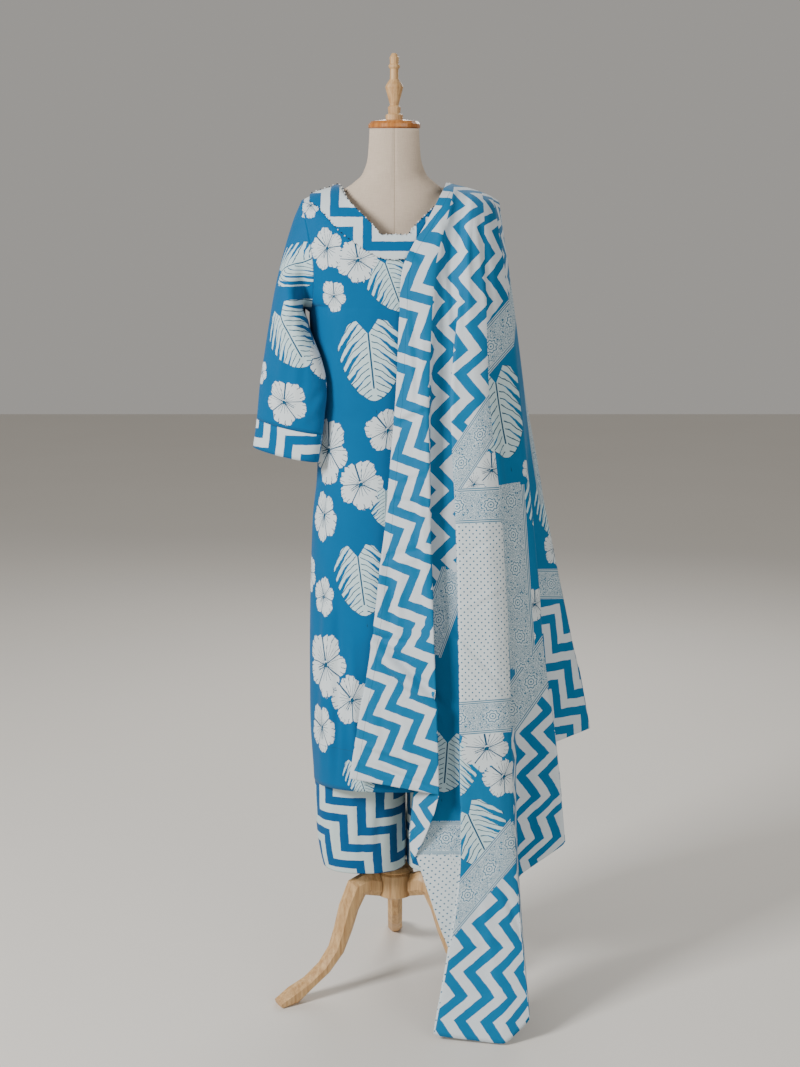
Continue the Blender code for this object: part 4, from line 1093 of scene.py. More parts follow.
# %% Sleeves and cuffs
SLEEVE_DOWN, SLEEVE_AROUND = 8, 7            # points between two of the coarse ones
MIRROR_SUM = 788                              # x of a pixel and of its mirror image add up to this
CUFF_THICK = 0.0015                           # a cuff is turned over once, so it is thicker
CUFF_GAP = SEAM * 1.3                         # how far the cuff hangs below the sleeve's end
BEHIND_FROM, BEHIND_DROP, BEHIND_TURN = 0.06, 0.035, 1.0     # flowers behind: metres and radians
for side, flip in (("left", 1), ("right", -1)):
    coarse = sleeve_rings(ring_points, ring_away, side == "right")
    grid = refine([[tuple(p) for p in ring] for ring in coarse], SLEEVE_DOWN, SLEEVE_AROUND, closed=True)
    grid[..., 0] *= flip
    worn = crease(grid, SLEEVE_CREASES, flip, closed=True)
    worn = ripple(worn, amount=0.0010, size=0.05, seed=5, closed=True)
    fade = np.clip(np.arange(len(grid)) / SLEEVE_DOWN - 0.5, 0, 1)[:, None, None]
    grid = grid + (worn - grid) * fade
    coords = opened_coords(grid)
    spots = pixels(grid)
    facing = normals(grid, True)[..., 1] * flip < 0
    facing = np.concatenate([facing, facing[:, :1]], 1)
    spots = np.concatenate([spots, spots[:, :1]], 1)
    cut = CUFF_FROM_ROW * SLEEVE_DOWN + 1
    flowers, leaves = (
        place_motifs([(x if side == "left" else MIRROR_SUM - x, *rest) for x, *rest in table],
                     spots, coords, facing) for table in (SLEEVE_FLOWERS, SLEEVE_LEAVES))
    flowers += [(-u, v - BEHIND_DROP, r, turn + BEHIND_TURN) for u, v, r, turn in flowers
                if abs(u) > BEHIND_FROM]
    chart = (None, coords, coords, 1.0, flowers, leaves, ())
    sleeve = make_cloth("sleeve_cloth_" + side, grid[:cut], kurta_cotton, [chart], True, flip)
    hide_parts("sleeve_" + side)
    print(sleeve.name, "area %.3f m2" % area_of(grid[:cut], True))
    low = grid[cut - 1:] - (0, 0, CUFF_GAP)
    pair = coords[cut - 1:]
    zig = np.stack([pair[..., 0] + pair[..., 1], pair[..., 0] - pair[..., 1]], -1) * math.sqrt(0.5)
    cuff = make_cloth("cuff_cloth_" + side, low, kurta_cotton, [(None, pair, zig, 0.0, (), (), ())],
                      True, flip, CUFF_THICK)
    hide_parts("cuff_band_" + side)
    print(cuff.name, "area %.4f m2" % area_of(low, True))

# %% [markdown]
# ## Trousers
# Straight trousers of poplin: two legs, and above the tunic's slits an upper part drawn in by a
# waist tape.  Each is a stack of rounded rings.  The print runs slantwise round the legs, so
# that its zigzags look like stairs.

# %% Trouser sizes
# height, left edge, right edge, half depth, middle y of the left trouser leg
LEG_ROWS_LEFT = (
    (0.800, -0.150, 0.0222, 0.108, 0.000),
    (0.700, -0.152, 0.0222, 0.100, 0.000),
    (0.560, -0.156, 0.0222, 0.090, 0.000),
    (0.440, -0.157, 0.0222, 0.083, -0.002),
    (0.340, -0.155, 0.0222, 0.078, -0.004),
    (0.285, -0.149, 0.0222, 0.076, -0.005),
    (0.252, -0.142, 0.0222, 0.075, -0.005),
)
LEG_ROWS_RIGHT = (
    (0.800, 0.0228, 0.148, 0.096, 0.000),
    (0.700, 0.0228, 0.149, 0.093, 0.000),
    (0.560, 0.0228, 0.151, 0.090, 0.002),
    (0.440, 0.0228, 0.152, 0.088, 0.004),
    (0.340, 0.0228, 0.150, 0.086, 0.006),
    (0.285, 0.0228, 0.148, 0.085, 0.007),
    (0.252, 0.0228, 0.146, 0.084, 0.008),
)
# height, half width, depth of the front, depth of the back
SEAT_ROWS = (
    (1.035, 0.1245, 0.0925, 0.0945),
    (0.970, 0.1420, 0.1070, 0.1120),
    (0.900, 0.1480, 0.1130, 0.1180),
    (0.8004, 0.1510, 0.1120, 0.1160),
)
WAISTBAND_LIFT = 0.0004
# the waistband: height, half width, depth of the front, depth of the back of the form there
WAIST_ROWS = ((1.0703, 0.1172, 0.0868, 0.0872), (1.0353, 0.1225, 0.0905, 0.0925))
print("leg tables:", len(LEG_ROWS_LEFT), "sections a side")


# %% Trouser form
LEG_SHAPE, BODY_SHAPE = 2.5, 2.2     # roundness, as for the kameez: 2 is an ellipse, more is squarer


def superellipse(angle, half_width, half_depth, power):
    """A point of a rounded section: angle 0 is +X, a quarter turn is +Y"""
    c, s = math.cos(angle), math.sin(angle)
    size = (abs(c) ** power + abs(s) ** power) ** (-1 / power)
    return half_width * size * c, half_depth * size * s


def ring_between(z, left, right, half_depth, middle_y, count=16):
    """A rounded ring between a left and a right edge"""
    points = []
    for k in range(count):
        x, y = superellipse(2 * math.pi * k / count, (right - left) / 2, half_depth, LEG_SHAPE)
        points.append(Vector(((left + right) / 2 + x, middle_y + y, z)))
    return points


def body_ring(half_width, front_depth, back_depth, z, count, lift=0.0):
    """A rounded ring round the body's axis"""
    points = []
    for k in range(count):
        angle = 2 * math.pi * k / count
        depth = back_depth if math.sin(angle) > 0 else front_depth
        x, y = superellipse(angle, half_width + lift, depth + lift, BODY_SHAPE)
        points.append(Vector((x, y, z)))
    return points


print("a leg's top ring has", len(ring_between(*LEG_ROWS_LEFT[0])), "points")

# %% Trouser legs
# creases as in the function crease: x0, y0, x1, y1, half width, height
TROUSER_CREASES = (
    (337, 800, 340, 855, 6, -2.0), (352, 790, 357, 862, 7, 2.0), (380, 800, 378, 860, 7, -2.0),
    (320, 800, 335, 852, 5, 1.5), (410, 805, 412, 860, 5, -2.0),
)
STAIR = math.radians(45)     # how far the print is turned on the legs
LEG_ROUND = 0.084            # mean radius of a leg, in metres
TROUSER_THICK = 0.0013
for side, table in (("left", LEG_ROWS_LEFT), ("right", LEG_ROWS_RIGHT)):
    rings = np.array([[tuple(p) for p in ring_between(*row)] for row in table])
    grid = refine(rings, down=12, across=7, closed=True)
    grid = crease(grid, TROUSER_CREASES, -1, closed=True)
    grid = ripple(grid, amount=0.0018, size=0.06, seed=8, closed=True)
    coords = tube_coords(grid, LEG_ROUND)
    u, v = coords[..., 0], coords[..., 1]
    c, s = math.cos(STAIR), math.sin(STAIR)
    zig = np.stack([u * c + v * s, u * s - v * c], -1)
    leg = make_cloth("trouser_cloth_" + side, grid, trouser_cotton,
                     [(None, coords, zig, 0.0, (), (), ())], True, -1, TROUSER_THICK)
    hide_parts("trouser_leg_" + side)
    print(leg.name, "area %.3f m2" % area_of(grid, True))

# %% [markdown]
# The upper part joins the legs and is gathered by the waist tape, so small even folds run round
# it.  The tunic hides both, but the real garment has them, and they show when it is lifted off.

# %% Trouser top
SEAT_ROUND = 0.13            # mean radius of the upper part, in metres
GATHERS = 24                 # small folds round the gathered top
for name, node, rows, slot_name, amount in (
        ("trouser_top", "trouser_seat", SEAT_ROWS, "chevron_cotton", 0.0012),
        ("waist_tape", "trouser_waistband", WAIST_ROWS, "waist_cotton", 0.0)):
    lift = WAISTBAND_LIFT + WALL if node == "trouser_waistband" else 0.0
    rings = np.array([[tuple(p) for p in body_ring(w, f, b, z, 24, lift)] for z, w, f, b in rows])
    grid = refine(rings, down=8, across=8, closed=True)
    wave = np.sin(np.arange(grid.shape[1]) * math.tau * GATHERS / grid.shape[1])[None, :, None]
    grid = grid + normals(grid, True) * (amount * (wave + 1) / 2)
    coords = tube_coords(grid, SEAT_ROUND)
    top = make_cloth(name, grid, trouser_cotton, [(None, coords, coords, 0.0, (), (), ())], True)
    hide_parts(node)
    print(name, "area %.3f m2" % area_of(grid, True))

# %% [markdown]
# ## Dupatta
# The scarf is one long sheet of mulmul, laid in pleats over the shoulder, with its front end
# down on the floor.  A simulation would drape it well but not on the folds of the photo, and
# the folds are what the eye compares.  So each fold is a line down the cloth.

# %% Dupatta sizes
# The sheet hangs from the shoulder in folds.  Each row is a fold line:
# where it crosses the shoulder, then x, y at the chest, waist, hip and thigh, and
# x, y, z at the knee, at the shin and at the edge of the cloth.
CHEST_Z, WAIST_Z, HIP_Z, THIGH_Z = 1.42, 1.20, 0.95, 0.70
FRONT_FOLDS = (
    # the inner edge, at the neckline
    (0.096, (0.0165, -0.126), (0.003, -0.139), (-0.018, -0.142), (-0.047, -0.150),
     (-0.062, -0.152, 0.62), (-0.073, -0.154, 0.547), (-0.085, -0.156, 0.471)),
    # the ridge of the front pleat
    (0.110, (0.074, -0.134), (0.064, -0.163), (0.070, -0.178), (0.079, -0.190),
     (0.082, -0.193, 0.62), (0.085, -0.195, 0.53), (0.087, -0.197, 0.452)),
    # the cloth turned in behind it
    (0.120, (0.090, -0.119), (0.070, -0.134), (0.056, -0.143), (0.050, -0.150),
     (0.046, -0.151, 0.62), (0.038, -0.152, 0.53), (0.026, -0.153, 0.447)),
    # the recess, behind the wide front face
    (0.134, (0.112, -0.117), (0.126, -0.140), (0.128, -0.158), (0.135, -0.166),
     (0.135, -0.168, 0.55), (0.130, -0.174, 0.36), (0.108, -0.184, 0.165)),
    # the left edge of the wide front face
    (0.142, (0.124, -0.131), (0.097, -0.160), (0.107, -0.180), (0.1135, -0.192),
     (0.117, -0.196, 0.50), (0.117, -0.206, 0.27), (0.071, -0.268, 0.010)),
    # the line that ends in the corner of the tail
    (0.152, (0.144, -0.126), (0.146, -0.164), (0.168, -0.184), (0.186, -0.196),
     (0.195, -0.200, 0.50), (0.204, -0.212, 0.24), (0.205, -0.292, 0.004)),
    # the right ridge of the wide front face
    (0.160, (0.162, -0.118), (0.168, -0.156), (0.194, -0.172), (0.211, -0.184),
     (0.219, -0.188, 0.50), (0.232, -0.204, 0.26), (0.252, -0.268, 0.040)),
    # the valley beside it
    (0.170, (0.180, -0.106), (0.192, -0.134), (0.220, -0.142), (0.228, -0.138),
     (0.230, -0.125, 0.55), (0.232, -0.122, 0.40), (0.238, -0.118, 0.262)),
    # the ridge over the sleeve
    (0.180, (0.200, -0.084), (0.228, -0.102), (0.259, -0.112), (0.287, -0.112),
     (0.305, -0.108, 0.56), (0.318, -0.104, 0.45), (0.330, -0.100, 0.322)),
    # the cloth turned in behind that ridge
    (0.188, (0.210, -0.045), (0.240, -0.050), (0.252, -0.060), (0.268, -0.062),
     (0.278, -0.058, 0.62), (0.288, -0.052, 0.56), (0.296, -0.046, 0.500)),
    # the outermost line, at the side
    (0.194, (0.211, 0.000), (0.243, 0.000), (0.291, 0.000), (0.344, 0.000),
     (0.360, 0.000, 0.64), (0.372, 0.000, 0.58), (0.383, 0.000, 0.521)),
)
BACK_FOLDS = (
    # from the side round to the inner edge at the back of the neck
    (0.188, (0.205, 0.040), (0.226, 0.055), (0.250, 0.068), (0.275, 0.075),
     (0.283, 0.078, 0.62), (0.290, 0.080, 0.56), (0.296, 0.082, 0.490)),
    (0.176, (0.188, 0.080), (0.212, 0.108), (0.240, 0.135), (0.268, 0.150),
     (0.280, 0.158, 0.58), (0.288, 0.164, 0.47), (0.295, 0.170, 0.360)),
    (0.164, (0.165, 0.096), (0.178, 0.118), (0.195, 0.138), (0.210, 0.148),
     (0.214, 0.152, 0.54), (0.216, 0.158, 0.39), (0.218, 0.165, 0.235)),
    (0.150, (0.138, 0.110), (0.155, 0.145), (0.172, 0.175), (0.188, 0.190),
     (0.196, 0.198, 0.48), (0.204, 0.208, 0.26), (0.212, 0.222, 0.050)),
    (0.134, (0.106, 0.114), (0.110, 0.134), (0.112, 0.156), (0.114, 0.166),
     (0.116, 0.172, 0.50), (0.120, 0.180, 0.30), (0.126, 0.190, 0.110)),
    (0.118, (0.078, 0.116), (0.078, 0.150), (0.072, 0.178), (0.064, 0.188),
     (0.060, 0.192, 0.55), (0.056, 0.196, 0.42), (0.052, 0.200, 0.285)),
    (0.106, (0.050, 0.114), (0.046, 0.130), (0.030, 0.150), (0.015, 0.160),
     (0.008, 0.164, 0.60), (0.002, 0.168, 0.50), (-0.004, 0.172, 0.395)),
    (0.096, (0.022, 0.112), (0.010, 0.128), (-0.010, 0.146), (-0.034, 0.156),
     (-0.042, 0.160, 0.62), (-0.050, 0.163, 0.54), (-0.058, 0.166, 0.450)),
)
# distance from the middle, height of the dupatta on the shoulder
DUPATTA_RIDGE = ((0.090, 1.5697), (0.108, 1.5661), (0.146, 1.5565), (0.175, 1.5457), (0.196, 1.5334))
DUPATTA_LIFT = 0.007
FOLD_ROUND = 0.012     # the cloth starts to turn this far from a fold line,
FOLD_SHARE = 0.3       # or this share of a narrow face
FOLD_ROWS = (0, 0.6, 1, 1.5, 2, 3, 3.5, 4, 4.25, 4.5, 4.75, 5, 5.5, 6, 6.5, 7, 7.5, 8, 8.5, 9)
print("dupatta:", len(FRONT_FOLDS), "and", len(BACK_FOLDS), "fold lines")

# %% [markdown]
# From lines to a sheet: each row crosses all the fold lines, every fold is rounded, and the points
# are spread evenly, 4 to 5 mm apart.  That is fine enough for creases one centimetre wide.


# %% Dupatta form
def route(stations, p):
    """Point p of a smooth line through the stations, counted in stations"""
    i = min(int(p), len(stations) - 2)
    t = p - i
    a, b = stations[i], stations[i + 1]
    before = stations[i - 1] if i else a * 2 - b
    after = stations[i + 2] if i + 2 < len(stations) else b * 2 - a
    return (a * 2 + (b - before) * t + (before * 2 - a * 5 + b * 4 - after) * t**2
            + (a * 3 - b * 3 + after - before) * t**3) * 0.5


def fold_stations(row, front):
    """The points that a fold line passes, from the shoulder to the cloth's edge"""
    ridge_x, chest, waist, hip, thigh, knee, shin, end = row
    ridge_z = smooth(DUPATTA_RIDGE, ridge_x)
    side = -1 if front else 1
    stations = [Vector((ridge_x, side * SEAM, ridge_z))]
    for turn in (60, 30):
        rise, reach = math.sin(math.radians(turn)), math.cos(math.radians(turn))
        stations.append(Vector((
            chest[0] + (ridge_x - chest[0]) * rise,
            chest[1] * reach + side * DUPATTA_LIFT * rise,
            CHEST_Z + (ridge_z - CHEST_Z) * rise)))
    for (x, y), z in ((chest, CHEST_Z), (waist, WAIST_Z), (hip, HIP_Z), (thigh, THIGH_Z)):
        stations.append(Vector((x, y, z)))
    return stations + [Vector(knee), Vector(shin), Vector(end)]


def folded_row(points):
    """One row across the folds: each fold line is rounded, each face gets a middle point"""
    row = [points[0]]
    for k in range(1, len(points)):
        a, b = points[k - 1], points[k]
        span = (b - a).length
        near = min(FOLD_ROUND, span * FOLD_SHARE)
        step = (b - a) / span
        if k > 1:
            row.append(a + step * near)
        row.append((a + b) / 2)
        if k < len(points) - 1:
            before = b - step * near
            onward = points[k + 1] - b
            after = b + onward / onward.length * min(FOLD_ROUND, onward.length * FOLD_SHARE)
            row.append(before)
            row.append(b * 0.5 + (before + after) * 0.25)
    row.append(points[-1])
    return row


FINE_DOWN, FINE_ACROSS = 24, 16    # points between the coarse ones, before they are spread evenly
SHEET_ROWS, SHEET_COLUMNS = 270, 176    # each sheet's own points, 4 to 5 mm apart


def even_sheet(coarse):
    """A smooth sheet with evenly spread points, and its rows' and columns' places in the coarse one"""
    sheet = refine(coarse, FINE_DOWN, FINE_ACROSS)
    places = []
    for axis, count, fine in ((0, SHEET_ROWS, FINE_DOWN), (1, SHEET_COLUMNS, FINE_ACROSS)):
        steps = np.linalg.norm(np.diff(sheet, axis=axis), axis=-1).mean(1 - axis)
        run = np.concatenate([[0.0], np.cumsum(steps)])
        at = np.interp(np.linspace(0, run[-1], count), run, np.arange(len(run)))
        low = np.minimum(at.astype(int), len(run) - 2)
        share = (at - low).reshape((-1, 1, 1) if axis == 0 else (1, -1, 1))
        sheet = np.take(sheet, low, axis) * (1 - share) + np.take(sheet, low + 1, axis) * share
        places.append(at / fine)
    return sheet, *places


front_lines = [fold_stations(row, True) for row in FRONT_FOLDS]
back_lines = [fold_stations(FRONT_FOLDS[-1], False)] + [fold_stations(row, False) for row in BACK_FOLDS]
front_cloth, front_rows, front_columns = even_sheet(
    [[tuple(p) for p in folded_row([route(line, p) for line in front_lines])] for p in FOLD_ROWS])
back_cloth, back_rows, back_columns = even_sheet(
    [[tuple(p) for p in folded_row([route(line, p) for line in back_lines])] for p in FOLD_ROWS])
print("front", front_cloth.shape, "back", back_cloth.shape)

# %% [markdown]
# A print lies flat on the cloth, so where the cloth folds, part of it is hidden and the rest seems
# cut off.  Each face between two fold lines gets stripes counted from one of the lines, and
# motifs and bands where the photo shows them on it.


# %% Dupatta prints
LOW_FROM_Y = 560             # below this pixel row the second line of a face's turns counts
STAIR_FROM_Y = 590           # below this pixel row the outer faces show upright stairs


def line_places(columns, lines):
    """Which fold line each column lies at, counted in lines"""
    marks = [0] + [4 * k - 1 for k in range(1, lines - 1)] + [columns[-1]]
    return np.interp(columns, marks, range(lines))


def lengths(grid, rows):
    """Level distance across the hanging sheet, and distance down it from the shoulder"""
    level = np.diff(grid[..., :2], axis=1, prepend=grid[:, :1, :2])
    across = np.cumsum(np.linalg.norm(level, axis=-1), 1)
    down = np.cumsum(np.linalg.norm(np.diff(grid, axis=0, prepend=grid[:1]), axis=-1), 0)
    at_chest = down[np.argmin(np.abs(rows - FOLD_ROWS.index(3)))]
    hung = grid[..., 2] < CHEST_Z
    return across, np.where(hung, at_chest.mean() + CHEST_Z - grid[..., 2], down / at_chest * at_chest.mean())


def sheet_prints(grid, rows, columns, lines, groups, turns, grounds, stairs, unrolled=None):
    """Prints of a folded sheet, one for each face between two fold lines.

    groups: first face, faces, flowers, leaves, bands; turns: degrees, start across, and the fold
    lines that the stripes are counted from above and below.  From the face unrolled on, bands
    are placed by distance round the sheet, as its faces turn from the camera.
    """
    places = line_places(columns, lines)
    across, down = lengths(grid, rows)
    spots = pixels(grid)
    quads = np.minimum((places + 1e-6).astype(int), lines - 2)
    line_at = [int(np.argmin(np.abs(places - line))) for line in range(lines)]
    prints = []
    for first, count, flowers, leaves, bands in groups:
        left = int(np.argmin(np.abs(places - first)))
        coords = np.stack([across - across[:, left:left + 1] + first, -down], -1)
        facing = np.broadcast_to((quads >= first) & (quads < first + count), grid.shape[:2])
        band_spots = spots.copy()
        if unrolled is not None and first >= unrolled:
            band_spots[..., 0] = spots[:, left:left + 1, 0] + (across - across[:, left:left + 1]) / PIXEL
        placed = [place_motifs(table, spots, coords, facing) for table in (flowers, leaves)]
        for face in range(first, first + count):
            turn, start, high, low = turns[face]
            high, low = (across - across[:, k:k + 1] for k in (line_at[high], line_at[low]))
            s, t = np.where(spots[..., 1] > LOW_FROM_Y, low, high), down
            c, n = math.cos(math.radians(turn)), math.sin(math.radians(turn))
            chevron = np.stack([s * c - t * n + start, s * n + t * c], -1)
            if stairs:
                stair = np.stack([s - t, s + t], -1) * math.sqrt(0.5)
                chevron = np.where((spots[..., 1:] > STAIR_FROM_Y) & (face in stairs), stair, chevron)
            where = np.broadcast_to(quads == face, grid.shape[:2])
            prints.append((where, coords, chevron, grounds(spots, face), *placed, bands, band_spots))
    return prints


print("faces: %d in front, %d behind" % (len(FRONT_FOLDS) - 1, len(BACK_FOLDS)))

# %% [markdown]
# The scarf's creases: the strongest run aslant over the front face, and softer ones hang from
# the shoulder.  They are pressed into both halves, which then share their edge at the side,
# because the cloth is one.

# %% Dupatta creases
# x0, y0, x1, y1 in the photo's pixels, half width in pixels, height in millimetres
SCARF_CREASES = (
    (366, 626, 442, 704, 6, -10.0), (378, 654, 424, 702, 6, 8.0), (388, 498, 436, 510, 5, -6.0),
    (366, 636, 412, 644, 5, -6.0), (455, 632, 506, 690, 4, -4.0), (460, 660, 500, 712, 4, 3.0),
    (374, 610, 402, 632, 4, 3.5), (400, 668, 440, 716, 4, 3.0), (395, 480, 425, 470, 4, 2.5),
    (408, 330, 430, 345, 5, -3.0), (356, 742, 430, 766, 5, 3.0), (362, 762, 436, 790, 4, -3.5),
    (404, 240, 424, 262, 5, -3.5), (392, 420, 428, 404, 6, 4.5), (376, 560, 430, 548, 6, -4.5),
    (418, 470, 430, 620, 7, 4.0), (384, 520, 392, 620, 8, -4.0), (402, 560, 396, 650, 7, 3.5),
    (455, 560, 500, 535, 4, -1.5), (462, 610, 505, 585, 5, 1.5), (396, 560, 436, 600, 6, 2.0),
    (452, 800, 500, 850, 6, -2.5), (470, 780, 505, 830, 5, 2.0), (450, 950, 520, 930, 7, 2.5),
    (440, 1000, 520, 985, 6, -2.0), (500, 880, 524, 940, 5, -3.0), (480, 880, 500, 1000, 8, 2.5),
    (412, 300, 420, 420, 5, -2.0), (424, 320, 418, 470, 5, 2.0), (445, 210, 455, 330, 6, -3.0),
    (466, 205, 470, 330, 6, 3.0), (455, 330, 452, 430, 6, 2.0), (480, 215, 495, 330, 6, -3.0),
    (500, 400, 512, 520, 6, -2.0), (520, 520, 528, 640, 6, 2.0), (540, 600, 556, 720, 7, -3.0),
    (565, 620, 578, 722, 6, 2.5), (530, 720, 545, 860, 6, 2.5), (552, 740, 556, 850, 7, -2.5),
    (400, 700, 412, 782, 6, 2.0), (380, 690, 385, 775, 6, -2.0), (352, 760, 380, 770, 4, 2.0),
)
# seen through the dress from the front
BACK_CREASES = (
    (540, 300, 548, 560, 8, -3.0), (505, 330, 510, 600, 8, 3.0), (470, 300, 462, 520, 7, -3.0),
    (430, 330, 425, 600, 8, 2.5), (520, 560, 535, 760, 8, -3.0), (480, 600, 490, 860, 8, 3.0),
    (440, 620, 448, 820, 7, -2.5), (400, 560, 404, 760, 8, 2.5), (470, 560, 430, 640, 5, -2.5),
    (560, 420, 572, 600, 7, 2.5), (380, 640, 420, 660, 4, -2.0), (500, 700, 540, 720, 5, 2.0),
)
EDGE_COLUMNS = 14      # the edge at the side is eased over this many columns
SEATED_ROW, SEATED_OVER = 2.5, 1.5     # places in FOLD_ROWS: creases fade in from here, over so many

# the layer turned in behind the pleat hangs lower between its two fold lines
FLAP_SHARE = (1.0, 1.2, 1.35, 1.5, 1.7, 1.85, 2.0, 2.6, 3.0)     # places, counted in fold lines
FLAP_DROP = (0.0, 0.015, 0.050, 0.090, 0.130, 0.145, 0.100, 0.060, 0.0)     # metres
FLAP_ROW, FLAP_OVER = 7.0, 2.0         # the drop grows from this station on, over so many
front_places = line_places(front_columns, len(FRONT_FOLDS))
late = np.clip((np.interp(front_rows, range(len(FOLD_ROWS)), FOLD_ROWS) - FLAP_ROW) / FLAP_OVER, 0, 1)
front_cloth[..., 2] -= (late ** 1.3)[:, None] * np.interp(front_places, FLAP_SHARE, FLAP_DROP)
worn = ripple(crease(front_cloth, SCARF_CREASES, -1), amount=0.0013, size=0.045, seed=11)
seated = np.clip((front_rows - SEATED_ROW) / SEATED_OVER, 0, 1)[:, None, None]
print("creases move the front by up to %.1f mm" % (np.linalg.norm(worn - front_cloth, axis=-1).max() * 1000))
front_cloth = front_cloth + (worn - front_cloth) * seated

# the front and the back of the scarf are one cloth, so they share their edge at the side
worn = ripple(crease(back_cloth, BACK_CREASES, -1), amount=0.0013, size=0.05, seed=17)
seated = np.clip((back_rows - SEATED_ROW) / SEATED_OVER, 0, 1)[:, None, None]
back_cloth = back_cloth + (worn - back_cloth) * seated
back_edge = np.stack([np.interp(front_rows, back_rows, back_cloth[:, 0, k]) for k in range(3)], -1)
front_edge = np.stack([np.interp(back_rows, front_rows, front_cloth[:, -1, k]) for k in range(3)], -1)
ease = np.linspace(0, 1, EDGE_COLUMNS)[None, :, None] ** 2
front_cloth[:, -EDGE_COLUMNS:] += (back_edge - front_cloth[:, -1])[:, None] * ease / 2
back_cloth[:, :EDGE_COLUMNS] += (front_edge - back_cloth[:, 0])[:, None] * ease[:, ::-1] / 2

# %% [markdown]
# The front half.  Its grounds change along slanting lines, because the scarf's panels hang
# askew in the photo, and the bands lie on those lines.

# %% Dupatta front
# turn of the zigzags in degrees, start of the stripes across, and the fold line that they are
# counted from above and below, for each face
FACE_TURNS = (
    (30, 0.010, 0, 0), (0, 0.0, 3, 1), (0, 0.0, 3, 3), (0, 0.0, 3, 3), (0, 0.0, 3, 4),
    (0, 0.0, 3, 4), (0, 0.012, 3, 6), (0, 0.012, 3, 6), (0, 0.0, 3, 8), (0, 0.0, 3, 8),
)
STAIR_FACES, UNROLLED_FROM = (8, 9), 8
# first face, faces, flowers, leaves, scroll bands (x0, y0, x1, y1, half width), all in the photo's pixels
FRONT_GROUPS = (
    (0, 2, (), (), ()),
    (2, 2, (), ((446, 762, 32, 0),), ((456, 572, 427, 652, 15), (395, 838, 462, 838, 17))),
    (4, 2, ((492, 470, 22, 0), (474, 484, 14, 40), (448, 655, 12, 20), (487, 748, 27, 10),
            (504, 776, 22, 50)),
     ((500, 412, 46, 8), (478, 836, 38, 25), (455, 770, 30, 0)),
     ((508, 392, 438, 498, 15), (440, 507, 505, 504, 18), (442, 720, 520, 714, 17),
      (522, 830, 440, 928, 16))),
    (6, 2, ((535, 604, 19, 0), (524, 640, 16, 30), (530, 470, 12, 0)),
     ((500, 412, 46, 8), (545, 508, 34, 10), (528, 665, 20, 60)),
     ((524, 308, 474, 366, 17), (510, 484, 522, 668, 14), (560, 640, 503, 722, 17))),
    (8, 2, ((545, 470, 18, 0), (556, 548, 20, 20)), ((551, 508, 34, 10), (538, 420, 26, 30)),
     ((474, 366, 580, 243, 17), (570, 380, 604, 500, 17), (480, 585, 700, 583, 15))),
)


def front_grounds(spots, face):
    """Which ground lies at each point of the front: 0 chevrons, 1 flowers, 2 dots"""
    x, y = spots[..., 0], spots[..., 1]
    kinds = np.zeros(x.shape)
    if face in (4, 5):
        kinds[(y > 410 + (495 - x) * 1.5) & (y < 838 + (515 - x) * 1.2)] = 1
        kinds[(y > 506) & (y < 717)] = 2
    if face in (6, 7):
        kinds[(y > 335 + (500 - x) * 1.15) & (y < 640 + (560 - x) * 1.45)] = 1
    if face >= 8:
        kinds[(y > 335 + (500 - x) * 1.15) & (y < 584)] = 1
    if face in (2, 3):
        kinds[y > 572 + (456 - x) * 2.7] = 1
        kinds[y > 838] = 2
    return kinds


front_prints = sheet_prints(front_cloth, front_rows, front_columns, len(FRONT_FOLDS), FRONT_GROUPS,
                            FACE_TURNS, front_grounds, STAIR_FACES, UNROLLED_FROM)
scarf_front = make_cloth("scarf_front", front_cloth, scarf_cotton, front_prints)
print("scarf front area %.3f m2" % area_of(front_cloth))

# %% [markdown]
# The back half was not photographed.  It repeats the front's grounds, bands and motifs in
# another layout, as the other end of the same cloth would.

# %% Dupatta back
# as for the front: turn, start across, and the two fold lines
BACK_TURNS = (
    (0, 0.0, 4, 0), (0, 0.0, 4, 0), (0, 0.0, 4, 2), (0, 0.0, 4, 2), (0, 0.0, 4, 4),
    (12, 0.0, 5, 5), (12, 0.0, 5, 5), (12, 0.0, 5, 5),
)
# seen through the dress from the front, in the photo's pixels
BACK_GROUPS = (
    (0, 2, ((560, 500, 20, 0), (548, 440, 18, 40)), ((556, 552, 28, 10),), ((480, 585, 800, 583, 15),)),
    (2, 3, ((500, 470, 24, 0), (480, 540, 20, 30), (508, 660, 22, 10)),
     ((490, 420, 40, 8), (505, 600, 34, 20)),
     ((400, 385, 900, 355, 16), (400, 720, 900, 712, 17))),
    (5, 3, ((430, 560, 20, 0),), ((425, 500, 32, 0),), ((300, 468, 900, 464, 15), (300, 642, 900, 646, 15))),
)


def back_grounds(spots, face):
    """Which ground lies at each point of the back: 0 chevrons, 1 flowers"""
    y = spots[..., 1]
    low, high = ((410, 584), (410, 584), (370, 716), (370, 716), (370, 716))[min(face, 4)]
    if face >= 5:
        low, high = 466, 642
    return ((y > low) & (y < high)).astype(float)


back_prints = sheet_prints(back_cloth, back_rows, back_columns, len(BACK_FOLDS) + 1, BACK_GROUPS,
                           BACK_TURNS, back_grounds, (0, 1, 2), 0)
scarf_back = make_cloth("scarf_back", back_cloth, scarf_cotton, back_prints)
print("scarf back area %.3f m2" % area_of(back_cloth))
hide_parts("dupatta_front_pleat", "dupatta_front_fall", "dupatta_side_fall")
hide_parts("dupatta_back_fall")

# %% [markdown]
# ## Dress form
# A dress form is a hard core under padding, with a tight cover of linen that is sewn up the
# middle.  It has no limbs.  The body is a stack of rounded sections; the cover's seam on the
# neck is a shallow groove.  The stand keeps its solids and gets wood.

